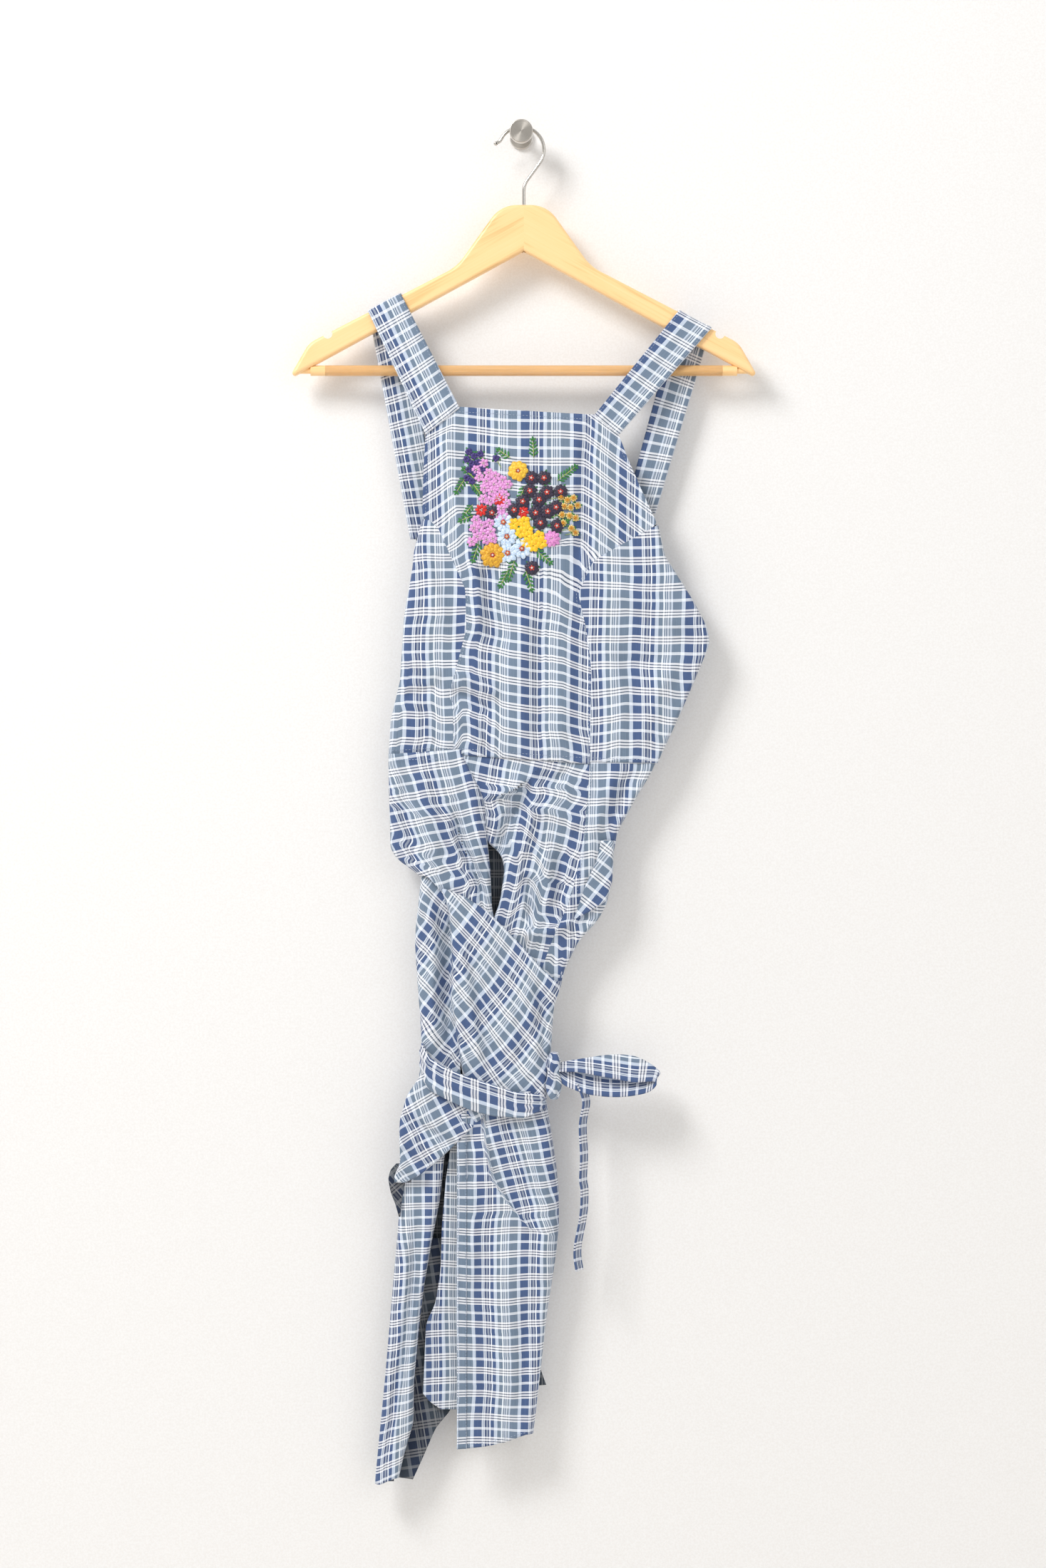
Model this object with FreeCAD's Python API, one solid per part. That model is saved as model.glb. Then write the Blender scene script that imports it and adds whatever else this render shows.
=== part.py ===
"""Pinafore apron hanging by its straps from a wooden hanger, on a steel peg in the wall.

Millimetres. The origin is the centre of the peg's wall face. +Y runs into the wall, so the
viewer stands at -Y, +X is to the viewer's right and +Z is up. Cloth is drawn as plain slabs
that lie one behind the other, each at its true outline.
"""
import os
import FreeCAD
import Part
from math import cos, radians, sin, tan
from FreeCAD import Vector

# --- Peg in the wall ---------------------------------------------------------------------
peg_reach = 43.0            # wall face to the front of the head
peg_neck_radius = 4.15
peg_head_radius = 11.2
peg_head_depth = 8.0
peg_dish_depth = 0.5        # turned hollow in the front of the head
flange_radius = 11.0
flange_depth = 4.0
flange_recess_depth = 0.6      # shallow relief in the back, so the flange clears the plug
flange_recess_clearance = 0.5  # radial, round the plug
edge_round = 0.8
bolt_radius = 2.5
bolt_in_peg = 22.0
bolt_in_wall = 28.0
plug_radius = 4.0
plug_length = 35.0
plug_slot = 0.8
plug_slot_length = 20.0

# --- Hook wire -----------------------------------------------------------------------------
hook_y = -28.0              # plane of the hook and the hanger
wire_radius = 1.65
hang_gap = 0.3              # wire to peg neck
bend_radius = 21.8          # middle of the wire in the round bend
bend_exit = 36.0            # degrees below level where the bend runs out towards the shank
bend_entry = 154.0          # degrees round from level where the bend meets the lead-in
return_radius = 18.0        # reverse curve above the shank
lead_in_radius = 5.0
lead_in_turn = 36.0
lead_in_length = 3.0
shank_x = 2.5
run_fit = 0.08              # radial clearance of the turning shank
shank_head_radius = 3.0
shank_head_depth = 2.4

# --- Wooden hanger ---------------------------------------------------------------------------
arm_reach = 225.5           # shank to the tip of an arm
arm_thickness = 13.0
arm_slope = 28.6           # degrees of the lower edge
arm_depth = 44.2            # crown to the underside at the middle
crown_half_width = 22.0
crown_slope = 54.5          # degrees of the shoulder beside the crown
shoulder_reach = 64.0       # shank to the hollow where the shoulder runs into the arm
arm_edge_round = 3.4
tip_back = 20.0             # how far in from the tip the top edge turns down
tip_depth = 35.0            # height of the arm's blunt end, top corner to tip
crown_z = -69.0
notch_reach = 187.5
notch_radius = 4.5
bush_radius = 3.0
bush_length = 20.0
washer_radius = 4.0
washer_depth = 1.2
washer_rise = 7.5           # washer above the underside at the middle
bar_radius = 5.0
bar_rise = 8.9              # bar above the tips
tenon_radius = 3.0
tenon_length = 10.0
tenon_inset = 11.5          # tip to the end of the tenon
sleeve_wall = 0.4
sleeve_inset = 35.5         # tip to the end of the sleeve
brad_radius = 0.7
brad_length = 8.0

# --- Cloth ------------------------------------------------------------------------------------
cloth = 3.0                 # a folded or gathered layer
layer_pitch = 5.0           # one layer to the next
back_layer = 11.0           # wall to the rearmost layer
seam_gap = 0.4
wood_gap = 0.6              # cloth to wood
strap_cloth = 2.4
strap_width = 34.5          # along the arm's edge
strap_seat_left = 133.0     # shank to the middle of each strap, on the arm
strap_seat_right = 164.0
back_strap_lean_left = 0.18     # inward run of the back strap for each mm of drop
back_strap_lean_right = 0.30
sway_drop = 9.5             # sleeve to the line that the apron sways about
sway_gap = 2.3              # strap ends above and below that line
bib_drop = 21.0             # sway line to the bib's top edge
bib_length = 334.0
upper_skirt_length = 308.0
lower_skirt_length = 353.0
facing_depth = 42.0
bouquet_half_width = 61.0
bouquet_half_height = 68.0
bouquet_drop = 104.0
bouquet_cloth = 1.4
belt_left = -97.0
belt_right = 24.0
belt_cloth = 2.0
belt_corner = 14.0
belt_clear = 0.5
belt_width = 28.0
knot_width = 12.5
knot_height = 44.0
knot_depth = 18.0
bow_length = 91.0
bow_height = 33.0
ribbon_width = 22.0
tail_length = 165.0
tail_thickness = 6.0
tail_drop = 5.0             # bow to the top of the hanging tail

# --- Places worked out from the sizes ---------------------------------------------------------
bend_z = peg_neck_radius + hang_gap + wire_radius - bend_radius
apex_z = crown_z - arm_depth
tip_z = apex_z - arm_reach * tan(radians(arm_slope))
bar_z = tip_z + bar_rise
sleeve_radius = bar_radius + sleeve_wall
arm_front = hook_y - arm_thickness / 2
arm_back = hook_y + arm_thickness / 2
sway_z = bar_z - sleeve_radius - sway_drop
bib_top = sway_z - bib_drop
waist_z = bib_top - bib_length
belt_z = waist_z - upper_skirt_length
shoulder_z = crown_z - (shoulder_reach - crown_half_width) * tan(radians(crown_slope))
arm_end_z = tip_z + tip_depth
edge_fall = (shoulder_z - arm_end_z) / (arm_reach - tip_back - shoulder_reach)


def flat(x, z, y=0.0):
    """A point in a plane that faces the viewer."""
    return Vector(x, y, z)


def layer_front(number):
    """Front face of a cloth layer, counted from the wall."""
    return -(back_layer + number * layer_pitch) - cloth


def rod(radius, length, y, hole=0.0, x=0.0, z=0.0):
    """A round bar or tube along +Y from y."""
    bar = Part.makeCylinder(radius, length, Vector(x, y, z), Vector(0, 1, 0))
    if hole:
        bar = bar.cut(Part.makeCylinder(hole, length, Vector(x, y, z), Vector(0, 1, 0)))
    return bar


def upright(radius, bottom, top, hole=0.0):
    """A round bar or tube on the shank's axis."""
    foot = Vector(shank_x, hook_y, bottom)
    bar = Part.makeCylinder(radius, top - bottom, foot)
    if hole:
        bar = bar.cut(Part.makeCylinder(hole, top - bottom, foot))
    return bar


def outline_edges(stretches):
    """Edges of a closed outline. Each stretch is a word, line or curve, and its points."""
    edges = []
    for position, (form, points) in enumerate(stretches):
        following = stretches[(position + 1) % len(stretches)][1][0]
        points = [flat(*p) for p in points] + [flat(*following)]
        if form == "curve":
            spline = Part.BSplineCurve()
            spline.interpolate(points)
            edges.append(spline.toShape())
        else:
            pairs = zip(points, points[1:])
            edges += [Part.makeLine(a, b) for a, b in pairs if (a - b).Length > 1e-6]
    return edges


def slab(stretches, front, depth):
    """A flat sheet of the given outline, with its front face at y = front."""
    face = Part.Face(Part.Wire(outline_edges(stretches)))
    face.translate(Vector(0, front, 0))
    return face.extrude(Vector(0, depth, 0))


def polygon(points, front, depth):
    """A flat sheet with straight edges."""
    return slab([("line", points)], front, depth)


def below(level, points):
    """Points given as x and the drop below a level."""
    return [(x, level - drop) for x, drop in points]


def shifted(points, dx):
    """The same points, moved sideways."""
    return [(x + dx, z) for x, z in points]


def write(name, shape):
    """Writes one sub-part."""
    solids = shape.Solids
    shape = solids[0] if len(solids) == 1 else Part.makeCompound(solids)
    shape.exportStep("parts/" + name + ".step")
    print(name, len(solids), round(shape.Volume), shape.isValid())


def peg_parts():
    """Wall plug, hanger bolt, flange and the turned peg."""
    plug = rod(plug_radius, plug_length, 0, bolt_radius)
    slot_start = plug_length - plug_slot_length
    across = Part.makeBox(2 * plug_radius, plug_slot_length, plug_slot,
                          Vector(-plug_radius, slot_start, -plug_slot / 2))
    write("wall_plug", plug.cut(across))

    bolt = rod(bolt_radius, bolt_in_peg + bolt_in_wall, -bolt_in_peg)
    write("hanger_bolt", bolt.makeChamfer(edge_round, [bolt.Edges[0], bolt.Edges[2]]))

    flange = rod(flange_radius, flange_depth, -flange_depth, bolt_radius)
    recess = rod(plug_radius + flange_recess_clearance, flange_recess_depth, -flange_recess_depth)
    flange = flange.cut(recess)
    rim = [e for e in flange.Edges if e.Closed and e.BoundBox.YMax < -flange_depth / 2
           and e.BoundBox.XLength > 2 * bolt_radius + 1]
    write("wall_flange", flange.makeFillet(edge_round, rim))

    neck_length = peg_reach - peg_head_depth - flange_depth
    neck = rod(peg_neck_radius, neck_length, -flange_depth - neck_length)
    head = rod(peg_head_radius, peg_head_depth, -peg_reach)
    head = head.makeFillet(edge_round, [e for e in head.Edges if len(e.Vertexes) == 1])
    dish = rod(peg_head_radius - 2 * edge_round, peg_dish_depth, -peg_reach)
    socket = rod(bolt_radius, bolt_in_peg, -bolt_in_peg)
    write("peg", head.cut(dish).fuse(neck).removeSplitter().cut(socket))


def hook():
    """One length of wire: lead-in, round bend over the peg, return curve and shank."""
    centre = flat(0, bend_z, hook_y)

    def on_bend(degrees):
        a = radians(degrees)
        return centre + flat(cos(a), sin(a)) * bend_radius

    leave = on_bend(-bend_exit)
    down = flat(-sin(radians(bend_exit)), -cos(radians(bend_exit)))
    side_step = return_radius * (1 - cos(radians(bend_exit)))
    run = (leave.x - shank_x - side_step) / sin(radians(bend_exit))
    turn_start = leave + down * run
    turn_end = flat(shank_x, turn_start.z - return_radius * sin(radians(bend_exit)), hook_y)
    half = radians(bend_exit / 2)
    turn_middle = flat(shank_x + return_radius * (1 - cos(half)),
                       turn_end.z + return_radius * sin(half), hook_y)

    enter = on_bend(bend_entry)
    outward = flat(cos(radians(bend_entry)), sin(radians(bend_entry)))
    kick_centre = enter + outward * lead_in_radius

    def on_kick(turn):
        a = radians(bend_entry + 180 + turn)
        return kick_centre + flat(cos(a), sin(a)) * lead_in_radius

    kick_end = on_kick(-lead_in_turn)
    heading = radians(bend_entry + 90 - lead_in_turn)
    tip = kick_end + flat(cos(heading), sin(heading)) * lead_in_length

    seat = apex_z + washer_rise - seam_gap
    path = Part.Wire([
        Part.makeLine(tip, kick_end),
        Part.Arc(kick_end, on_kick(-lead_in_turn / 2), enter).toShape(),
        Part.Arc(enter, on_bend((bend_entry - bend_exit) / 2), leave).toShape(),
        Part.makeLine(leave, turn_start),
        Part.Arc(turn_start, turn_middle, turn_end).toShape(),
        Part.makeLine(turn_end, flat(shank_x, seat, hook_y)),
    ])
    section = Part.Wire([Part.makeCircle(wire_radius, tip, kick_end - tip)])
    wire = path.makePipeShell([section], True, False)
    head = upright(shank_head_radius, seat - shank_head_depth, seat)
    return wire.fuse(Part.makeSphere(wire_radius + 0.35, tip)).fuse(head)


def edge_height(reach):
    """Height of the arm's straight top edge at a distance from the shank."""
    return shoulder_z - (reach - shoulder_reach) * edge_fall


def rounded(points):
    """Edges of a closed outline whose corners, given as x, z and radius, are rounded."""
    count = len(points)
    ends = []
    for i, (x, z, radius) in enumerate(points):
        here = flat(x, z)
        before = (flat(*points[i - 1][:2]) - here).normalize()
        after = (flat(*points[(i + 1) % count][:2]) - here).normalize()
        if not radius:
            ends.append((here, here, here))
            continue
        half = before.getAngle(after) / 2
        bisector = (before + after).normalize()
        reach = radius / tan(half)
        middle = here + bisector * (radius / sin(half) - radius)
        ends.append((here + before * reach, middle, here + after * reach))
    edges = []
    for i, (start, middle, end) in enumerate(ends):
        if (start - end).Length > 1e-6:
            edges.append(Part.Arc(start, middle, end).toShape())
        edges.append(Part.makeLine(end, ends[(i + 1) % count][0]))
    return edges


def arm(side):
    """One wooden arm. side is -1 for the left arm and +1 for the right."""
    corners = [(0, crown_z, 0), (crown_half_width, crown_z, 30), (shoulder_reach, shoulder_z, 45),
               (arm_reach - tip_back, arm_end_z, 24), (arm_reach, tip_z, 2.5), (0, apex_z, 0)]
    outline = [(shank_x + side * x, z, radius) for x, z, radius in corners]
    face = Part.Face(Part.Wire(rounded(outline)))
    face.translate(Vector(0, arm_front, 0))
    wood = face.extrude(Vector(0, arm_thickness, 0))
    long_edges = [e for e in wood.Edges
                  if e.BoundBox.YLength < 0.01 and e.BoundBox.XLength > 0.5]
    wood = wood.makeFillet(arm_edge_round, long_edges)

    notch = rod(notch_radius, arm_thickness, arm_front, 0,
                   shank_x + side * notch_reach, edge_height(notch_reach) - 1)
    wood = wood.cut(notch)
    wood = wood.cut(bar_cylinder(bar_radius, arm_reach - tenon_inset - tenon_length))
    wood = wood.cut(bar_cylinder(tenon_radius, arm_reach - tenon_inset))
    wood = wood.cut(upright(bush_radius, crown_z - bush_length, crown_z))
    wood = wood.cut(upright(wire_radius + 0.5, apex_z, crown_z))
    wood = wood.cut(upright(washer_radius, apex_z - 1, apex_z + washer_rise + washer_depth))
    return wood.cut(brad(side))


def bar_cylinder(radius, reach):
    """A round bar across the hanger, reaching the same distance each side of the shank."""
    return Part.makeCylinder(radius, 2 * reach, Vector(shank_x - reach, hook_y, bar_z),
                             Vector(1, 0, 0))


def brad(side):
    """A nail from the back of an arm into the bar's tenon."""
    x = shank_x + side * (arm_reach - tenon_inset - tenon_length / 2)
    return rod(brad_radius, brad_length, arm_back - brad_length, 0, x, bar_z)


def hanger_parts():
    """Arms, swivel fittings, trouser bar, sleeve and brads."""
    write("hanger_arm_left", arm(-1))
    write("hanger_arm_right", arm(1))
    write("swivel_bush", upright(bush_radius, crown_z - bush_length, crown_z,
                                 wire_radius + run_fit))
    washer_z = apex_z + washer_rise
    write("retaining_washer", upright(washer_radius, washer_z, washer_z + washer_depth,
                                      wire_radius + run_fit))
    bar = bar_cylinder(bar_radius, arm_reach - tenon_inset - tenon_length)
    bar = bar.fuse(bar_cylinder(tenon_radius, arm_reach - tenon_inset))
    brads = Part.makeCompound([brad(-1), brad(1)])
    write("trouser_bar", bar.cut(brads))
    sleeve_reach = arm_reach - sleeve_inset
    sleeve = bar_cylinder(sleeve_radius, sleeve_reach)
    write("bar_sleeve", sleeve.cut(bar_cylinder(bar_radius, sleeve_reach)))
    write("bar_brads", brads)


# Corners of the bib where the straps are sewn on, as x and drop below the bib's top
bib_left = [(-91.2, 25.7), (-58.7, 0.0)]
bib_right = [(69.6, 7.5), (93.0, 26.0)]


def strap(side, seat, bib_corner, lean):
    """The pieces of one strap: over the arm, down to the bib, and down the back."""
    name = "left" if side < 0 else "right"
    half = strap_width / 2 * cos(radians(arm_slope))
    outer = shank_x + side * (seat + half)
    inner = shank_x + side * (seat - half)
    outer_z = edge_height(seat + half) + wood_gap
    inner_z = edge_height(seat - half) + wood_gap
    bib_points = sorted(below(bib_top, bib_corner), key=lambda p: side * p[0])
    (bib_inner_x, bib_inner_z), (bib_outer_x, bib_outer_z) = bib_points
    cut_above = sway_z + sway_gap
    cut_below = sway_z - sway_gap

    def across(x_top, z_top, x_low, z_low, z):
        return x_top + (x_low - x_top) * (z_top - z) / (z_top - z_low)

    def edge_at(z):
        return (across(outer, outer_z, bib_outer_x, bib_outer_z, z),
                across(inner, inner_z, bib_inner_x, bib_inner_z, z))

    front_y = arm_front - wood_gap - strap_cloth
    back_y = arm_back + wood_gap
    top = [(outer, outer_z + strap_cloth), (inner, inner_z + strap_cloth)]
    outer_cut, inner_cut = edge_at(cut_above)
    front = polygon(top + [(inner_cut, cut_above), (outer_cut, cut_above)], front_y, strap_cloth)
    cap = polygon(top + [(inner, inner_z), (outer, outer_z)], front_y,
                  back_y - front_y + strap_cloth)
    write("strap_over_arm_" + name, front.fuse(cap))

    outer_cut, inner_cut = edge_at(cut_below)
    slope = (bib_outer_z - bib_inner_z) / (bib_outer_x - bib_inner_x)
    lift = seam_gap + abs(slope) * seam_gap
    lower = [(outer_cut, cut_below), (inner_cut, cut_below),
             (bib_inner_x, bib_inner_z + lift), (bib_outer_x, bib_outer_z + lift)]
    write("front_strap_" + name, polygon(lower, layer_front(5), cloth))

    def back_x(x, z_top, z):
        return x - side * lean * (z_top - z)

    back_top = [(outer, outer_z - seam_gap), (inner, inner_z - seam_gap)]
    upper = back_top + [(back_x(inner, outer_z, cut_above), cut_above),
                        (back_x(outer, outer_z, cut_above), cut_above)]
    write("back_strap_upper_" + name, polygon(upper, back_y, strap_cloth))
    foot_z = bib_top - back_strap_foot[name]
    lower = [(back_x(outer, outer_z, cut_below), cut_below),
             (back_x(inner, outer_z, cut_below), cut_below),
             (back_x(inner, outer_z, foot_z), foot_z), (back_x(outer, outer_z, foot_z), foot_z)]
    write("back_strap_lower_" + name, polygon(lower, layer_front(1), cloth))


back_strap_foot = {"left": 125.0, "right": 100.0}   # drop to where the back panels begin
left_seam = [(-53.4, 174), (-52.3, 212), (-68, 262)]
right_seam = [(69.3, 146), (54.3, 178), (63, 216), (67, 253)]
waist_left = (-65.0, -6.0)      # ends of the bib's waist seam: x, and drop past the bib's length
waist_right = (65.0, 4.0)


def seam_points(curve, end):
    """A shaped seam from its top to the waist, as x and z."""
    return below(bib_top, curve) + [(end[0], waist_z - end[1])]


def bib_parts():
    """The shaped front of the apron above its waist, with its facing and embroidery."""
    left = seam_points(left_seam, waist_left)
    right = seam_points(right_seam, waist_right)
    armhole = below(bib_top, [(93, 26), (101.7, 49), (113, 75), (130, 112)])
    write("bib_centre_panel", slab([
        ("line", below(bib_top, [(-58.7, 0), (69.6, 7.5)])),
        ("curve", armhole[:-1]),
        ("line", armhole[-1:]),
        ("curve", right[:-1]),
        ("line", right[-1:]),
        ("curve", left[:0:-1]),
        ("line", left[:1] + below(bib_top, [(-80, 114), (-94.5, 104), (-91.2, 25.7)])),
    ], layer_front(5), cloth))
    write("bib_facing", polygon(
        below(bib_top, [(-56, 3), (66, 10.5), (86, 27), (88, facing_depth), (-85, facing_depth),
                        (-86, 27)]), layer_front(4), cloth))

    left = shifted(left, -seam_gap)
    right = shifted(right, seam_gap)
    write("side_panel_left", slab([
        ("line", below(bib_top, [(-95, 107), (-80.6, 116)])),
        ("curve", left[:-1]),
        ("line", left[-1:]),
        ("curve", [(-127, waist_z)] + below(bib_top, [(-116, 261), (-112, 199), (-103, 140)])),
    ], layer_front(5), cloth))
    write("side_panel_right", slab([
        ("curve", below(bib_top, [(130.6, 113), (148, 158), (176, 206)])),
        ("curve", below(bib_top, [(180, 225), (163, 268)])),
        ("line", [(131, waist_z)]),
        ("line", right[-1:]),
        ("curve", right[:0:-1]),
        ("line", right[:1]),
    ], layer_front(5), cloth))

    bouquet = Part.Ellipse(flat(0, bib_top - bouquet_drop + bouquet_half_height),
                           flat(bouquet_half_width, bib_top - bouquet_drop),
                           flat(0, bib_top - bouquet_drop))
    face = Part.Face(Part.Wire([bouquet.toShape()]))
    front = layer_front(5) - seam_gap - bouquet_cloth
    face.translate(Vector(0, front, 0))
    write("embroidered_bouquet", face.extrude(Vector(0, bouquet_cloth, 0)))


def back_parts():
    """The two back panels that the straps run into, one lapping over the other."""
    low = [(30, waist_z + seam_gap), (-120, waist_z + seam_gap)]
    top = bib_top - back_strap_foot["left"] - seam_gap
    write("back_panel_left", polygon(
        low[::-1] + below(bib_top, [(38, 260)]) + [(-68, top), (-108, top)], layer_front(1), cloth))
    top = bib_top - back_strap_foot["right"] - seam_gap
    write("back_panel_right", polygon(
        [(-10, waist_z + seam_gap), (128, waist_z + seam_gap)]
        + below(bib_top, [(172, 225)]) + [(132, top), (88, top)] + below(bib_top, [(-14, 260)]),
        layer_front(2), cloth))


def upper_skirt_parts():
    """Gathered skirt between the waist seam and the belt."""
    foot = upper_skirt_length - 3
    write("skirt_panel_left", slab([
        ("line", below(waist_z, [(-127, 0)])),
        ("curve", below(waist_z, [(-74, 0), (-38, 38), (-31, 100)])),
        ("line", below(waist_z, [(-26, 160)])),
        ("curve", below(waist_z, [(-96, 114), (-123, 92), (-126.5, 40)])),
    ], layer_front(6), cloth))
    write("skirt_panel_centre", polygon(
        below(waist_z, [(-60, 8), (64.6, 8), (66, 90), (50, 170), (28, 208), (-60, 208)]),
        layer_front(5), cloth))
    write("skirt_panel_right", slab([
        ("line", below(waist_z, [(66.4, 8)])),
        ("curve", below(waist_z, [(130, 8), (92.5, 71), (85, 124)])),
        ("line", below(waist_z, [(78, 150), (67.6, 158), (67.6, 90)])),
    ], layer_front(5), cloth))
    write("skirt_drape_left", slab([
        ("line", below(waist_z, [(-62, 112)])),
        ("curve", below(waist_z, [(-97, 112), (-101, 174), (-97, 230)])),
        ("line", below(waist_z, [(-91, foot), (-62, foot)])),
    ], layer_front(5), cloth))
    write("twisted_wrap_panel", slab([
        ("line", below(waist_z, [(-66, 135), (-26, 161)])),
        ("curve", below(waist_z, [(38, 216), (31, 240)])),
        ("line", below(waist_z, [(19, foot), (-60, foot)])),
    ], layer_front(7), cloth))
    write("skirt_panel_back", polygon(
        below(waist_z, [(-120, 0), (125, 0), (88, 71), (80, 141), (40, 205), (24, 262),
                        (18, foot), (-88, foot), (-96, 200), (-97, 125), (-118, 95)]),
        layer_front(1), cloth))


def belt_parts():
    """Belt round the gathered skirt, its knot, the bow's loop and the hanging end."""
    front = layer_front(7) - belt_clear - belt_cloth
    back = layer_front(0) + cloth + belt_clear + belt_cloth
    across = belt_right - belt_left

    def ring(inset, radius):
        box = Part.makeBox(across - 2 * inset, back - front - 2 * inset, 4 * belt_width,
                           Vector(belt_left + inset, front + inset, belt_z - 2 * belt_width))
        corners = [e for e in box.Edges if e.BoundBox.ZLength > belt_width]
        return box.makeFillet(radius, corners)

    top = below(belt_z, [(belt_left - 3, -27), (-30, 3), (belt_right + 2, 11)])
    bottom = [(x, z - belt_width) for x, z in reversed(top)]
    band = polygon(top + bottom, front - 1, back - front + 2)
    tube = ring(0, belt_corner).cut(ring(belt_cloth, belt_corner - belt_cloth))
    write("belt", tube.common(band))

    knot_left = belt_right + seam_gap
    knot_z = belt_z - 13
    knot = Part.makeBox(knot_width, knot_depth, knot_height,
                        Vector(knot_left, front - 2, knot_z - knot_height / 2 + 17))
    write("tie_knot", knot.makeFillet(knot_width / 3, knot.Edges))

    bow_left = knot_left + knot_width + 1
    bow_z = belt_z + 4

    def teardrop(inset):
        left = bow_left + inset * 2.5
        right = bow_left + bow_length - inset
        middle = bow_left + bow_length * 0.58
        half = bow_height / 2 - inset
        return [("curve", [(left, bow_z), (middle, bow_z + half), (right, bow_z),
                           (middle, bow_z - half)])]

    loop = slab(teardrop(0), front - 2, ribbon_width)
    write("bow_loop", loop.cut(slab(teardrop(strap_cloth), front - 2, ribbon_width)))

    tail_top = bow_z - bow_height / 2 - tail_drop
    tail_x = bow_left + 18
    half = tail_thickness / 2
    left_edge = [(tail_x - half, tail_top), (tail_x + 1 - half, tail_top - 40),
                 (tail_x + half, tail_top - 90), (tail_x - 4, tail_top - tail_length)]
    right_edge = shifted(left_edge, tail_thickness)[::-1]
    write("tie_tail", slab([("curve", left_edge[:-1]), ("line", left_edge[-1:]),
                            ("curve", right_edge[:-1]), ("line", right_edge[-1:])],
                           front - 1, ribbon_width - 2))


def lower_skirt_parts():
    """Skirt below the belt: the lapping front panel, the loose flap and the layers behind."""
    hem = lower_skirt_length
    top = 5
    write("lower_panel_right", slab([
        ("line", below(belt_z, [(-61, top), (18, top), (18, 44)])),
        ("curve", below(belt_z, [(29.6, 62), (36, 108), (33, 170), (24, 228)])),
        ("curve", below(belt_z, [(11.3, hem - 14), (-20, hem - 5)])),
        ("line", below(belt_z, [(-61, hem)])),
    ], layer_front(6), cloth))
    write("lower_flap_left", slab([
        ("line", below(belt_z, [(-89, top), (-66, top), (-66, 80)])),
        ("line", below(belt_z, [(-96, hem - 52), (-118, hem + 28), (-140, hem + 34)])),
        ("curve", below(belt_z, [(-124, 207), (-112, 100)])),
    ], layer_front(5), cloth))
    write("lower_panel_inner", polygon(
        below(belt_z, [(-88, top), (-62, top), (-62, hem - 37), (-77, hem - 36),
                       (-96, hem - 52), (-95, 120)]), layer_front(4), cloth))
    write("lower_flap_reverse", polygon(
        below(belt_z, [(-102, 150), (-67, 150), (-67, hem - 36), (-82, hem - 18),
                       (-104, hem + 31), (-119, hem + 28)]), layer_front(3), cloth))
    write("lower_panel_back", polygon(
        below(belt_z, [(-88, top), (18, top), (18, 48), (30, 90), (28, 200), (25, hem - 58),
                       (-60, hem - 50), (-95, hem - 60), (-89, 60)]), layer_front(1), cloth))
    roll = slab([
        ("curve", below(belt_z, [(-94, 13), (-62, 27)])),
        ("curve", below(belt_z, [(-28, 40), (-52, 58), (-84, 86), (-100, 116)])),
        ("curve", below(belt_z, [(-116, 131), (-126, 101), (-117, 60), (-110, 28)])),
    ], layer_front(7) - 3 * cloth, 3 * cloth)
    write("gathered_roll", roll)


os.makedirs("parts", exist_ok=True)
peg_parts()
write("hanger_hook", hook())
hanger_parts()
strap(-1, strap_seat_left, bib_left, back_strap_lean_left)
strap(1, strap_seat_right, bib_right, back_strap_lean_right)
bib_parts()
back_parts()
upper_skirt_parts()
belt_parts()
lower_skirt_parts()
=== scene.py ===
"""Apron on a hook: the finished look of each piece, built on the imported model.

Lengths inside the cloth functions are in millimetres, with x to the right, z up from the peg's
middle and y away from the viewer. Meshes are made in metres.
"""
import math

import bpy
import numpy as np
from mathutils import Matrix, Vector


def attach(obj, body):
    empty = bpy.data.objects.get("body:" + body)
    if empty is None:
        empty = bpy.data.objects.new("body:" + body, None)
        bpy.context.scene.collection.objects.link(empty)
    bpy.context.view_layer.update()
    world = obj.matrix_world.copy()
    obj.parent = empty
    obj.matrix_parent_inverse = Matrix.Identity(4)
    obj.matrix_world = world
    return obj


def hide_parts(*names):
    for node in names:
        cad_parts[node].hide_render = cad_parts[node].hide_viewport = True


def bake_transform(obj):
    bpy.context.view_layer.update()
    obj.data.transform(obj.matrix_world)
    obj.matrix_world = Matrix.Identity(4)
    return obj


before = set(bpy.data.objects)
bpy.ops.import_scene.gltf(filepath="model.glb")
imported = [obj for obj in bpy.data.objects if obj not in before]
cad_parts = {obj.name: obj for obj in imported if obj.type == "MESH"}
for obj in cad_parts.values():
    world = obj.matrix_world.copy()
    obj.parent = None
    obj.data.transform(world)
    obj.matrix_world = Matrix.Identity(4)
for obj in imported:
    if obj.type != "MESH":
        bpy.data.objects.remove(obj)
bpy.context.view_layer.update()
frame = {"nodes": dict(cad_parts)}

bl_info = {
    "name": "Apron on a Hook",
    "version": (1, 0, 0),
    "blender": (4, 5, 0),
    "location": "View3D > Sidebar > Apron",
    "description": "Builds a plaid apron with an embroidered bib on a wooden hanger",
    "category": "Object",
}

MM = 0.001
# Depth in mm of the bib and of the lower lap, before their folds are added
BIB_DEPTH = -37.6
LAP_DEPTH = -42.4

# Warp yarns across one repeat: width in millimetres and colour
WARP = [
    (8.7, "#5A73A5"), (1.2, "#CDD4E0"), (0.7, "#A9B6CC"), (1.3, "#CDD4E0"), (1.6, "#4F6190"),
    (2.0, "#B4BFD4"), (1.5, "#4F6190"), (1.2, "#EBF0F8"), (3.9, "#5A73A5"), (3.7, "#C3CEDE"),
    (4.1, "#8BA0B8"), (1.5, "#DDE4EC"), (1.3, "#8BA0B8"), (0.8, "#CDD4E0"), (1.3, "#8BA0B8"),
    (1.2, "#CDD4E0"), (1.7, "#A9B9CB"), (1.6, "#C3CEDE"), (9.1, "#8BA0B8"), (3.7, "#C3CEDE"),
]
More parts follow.
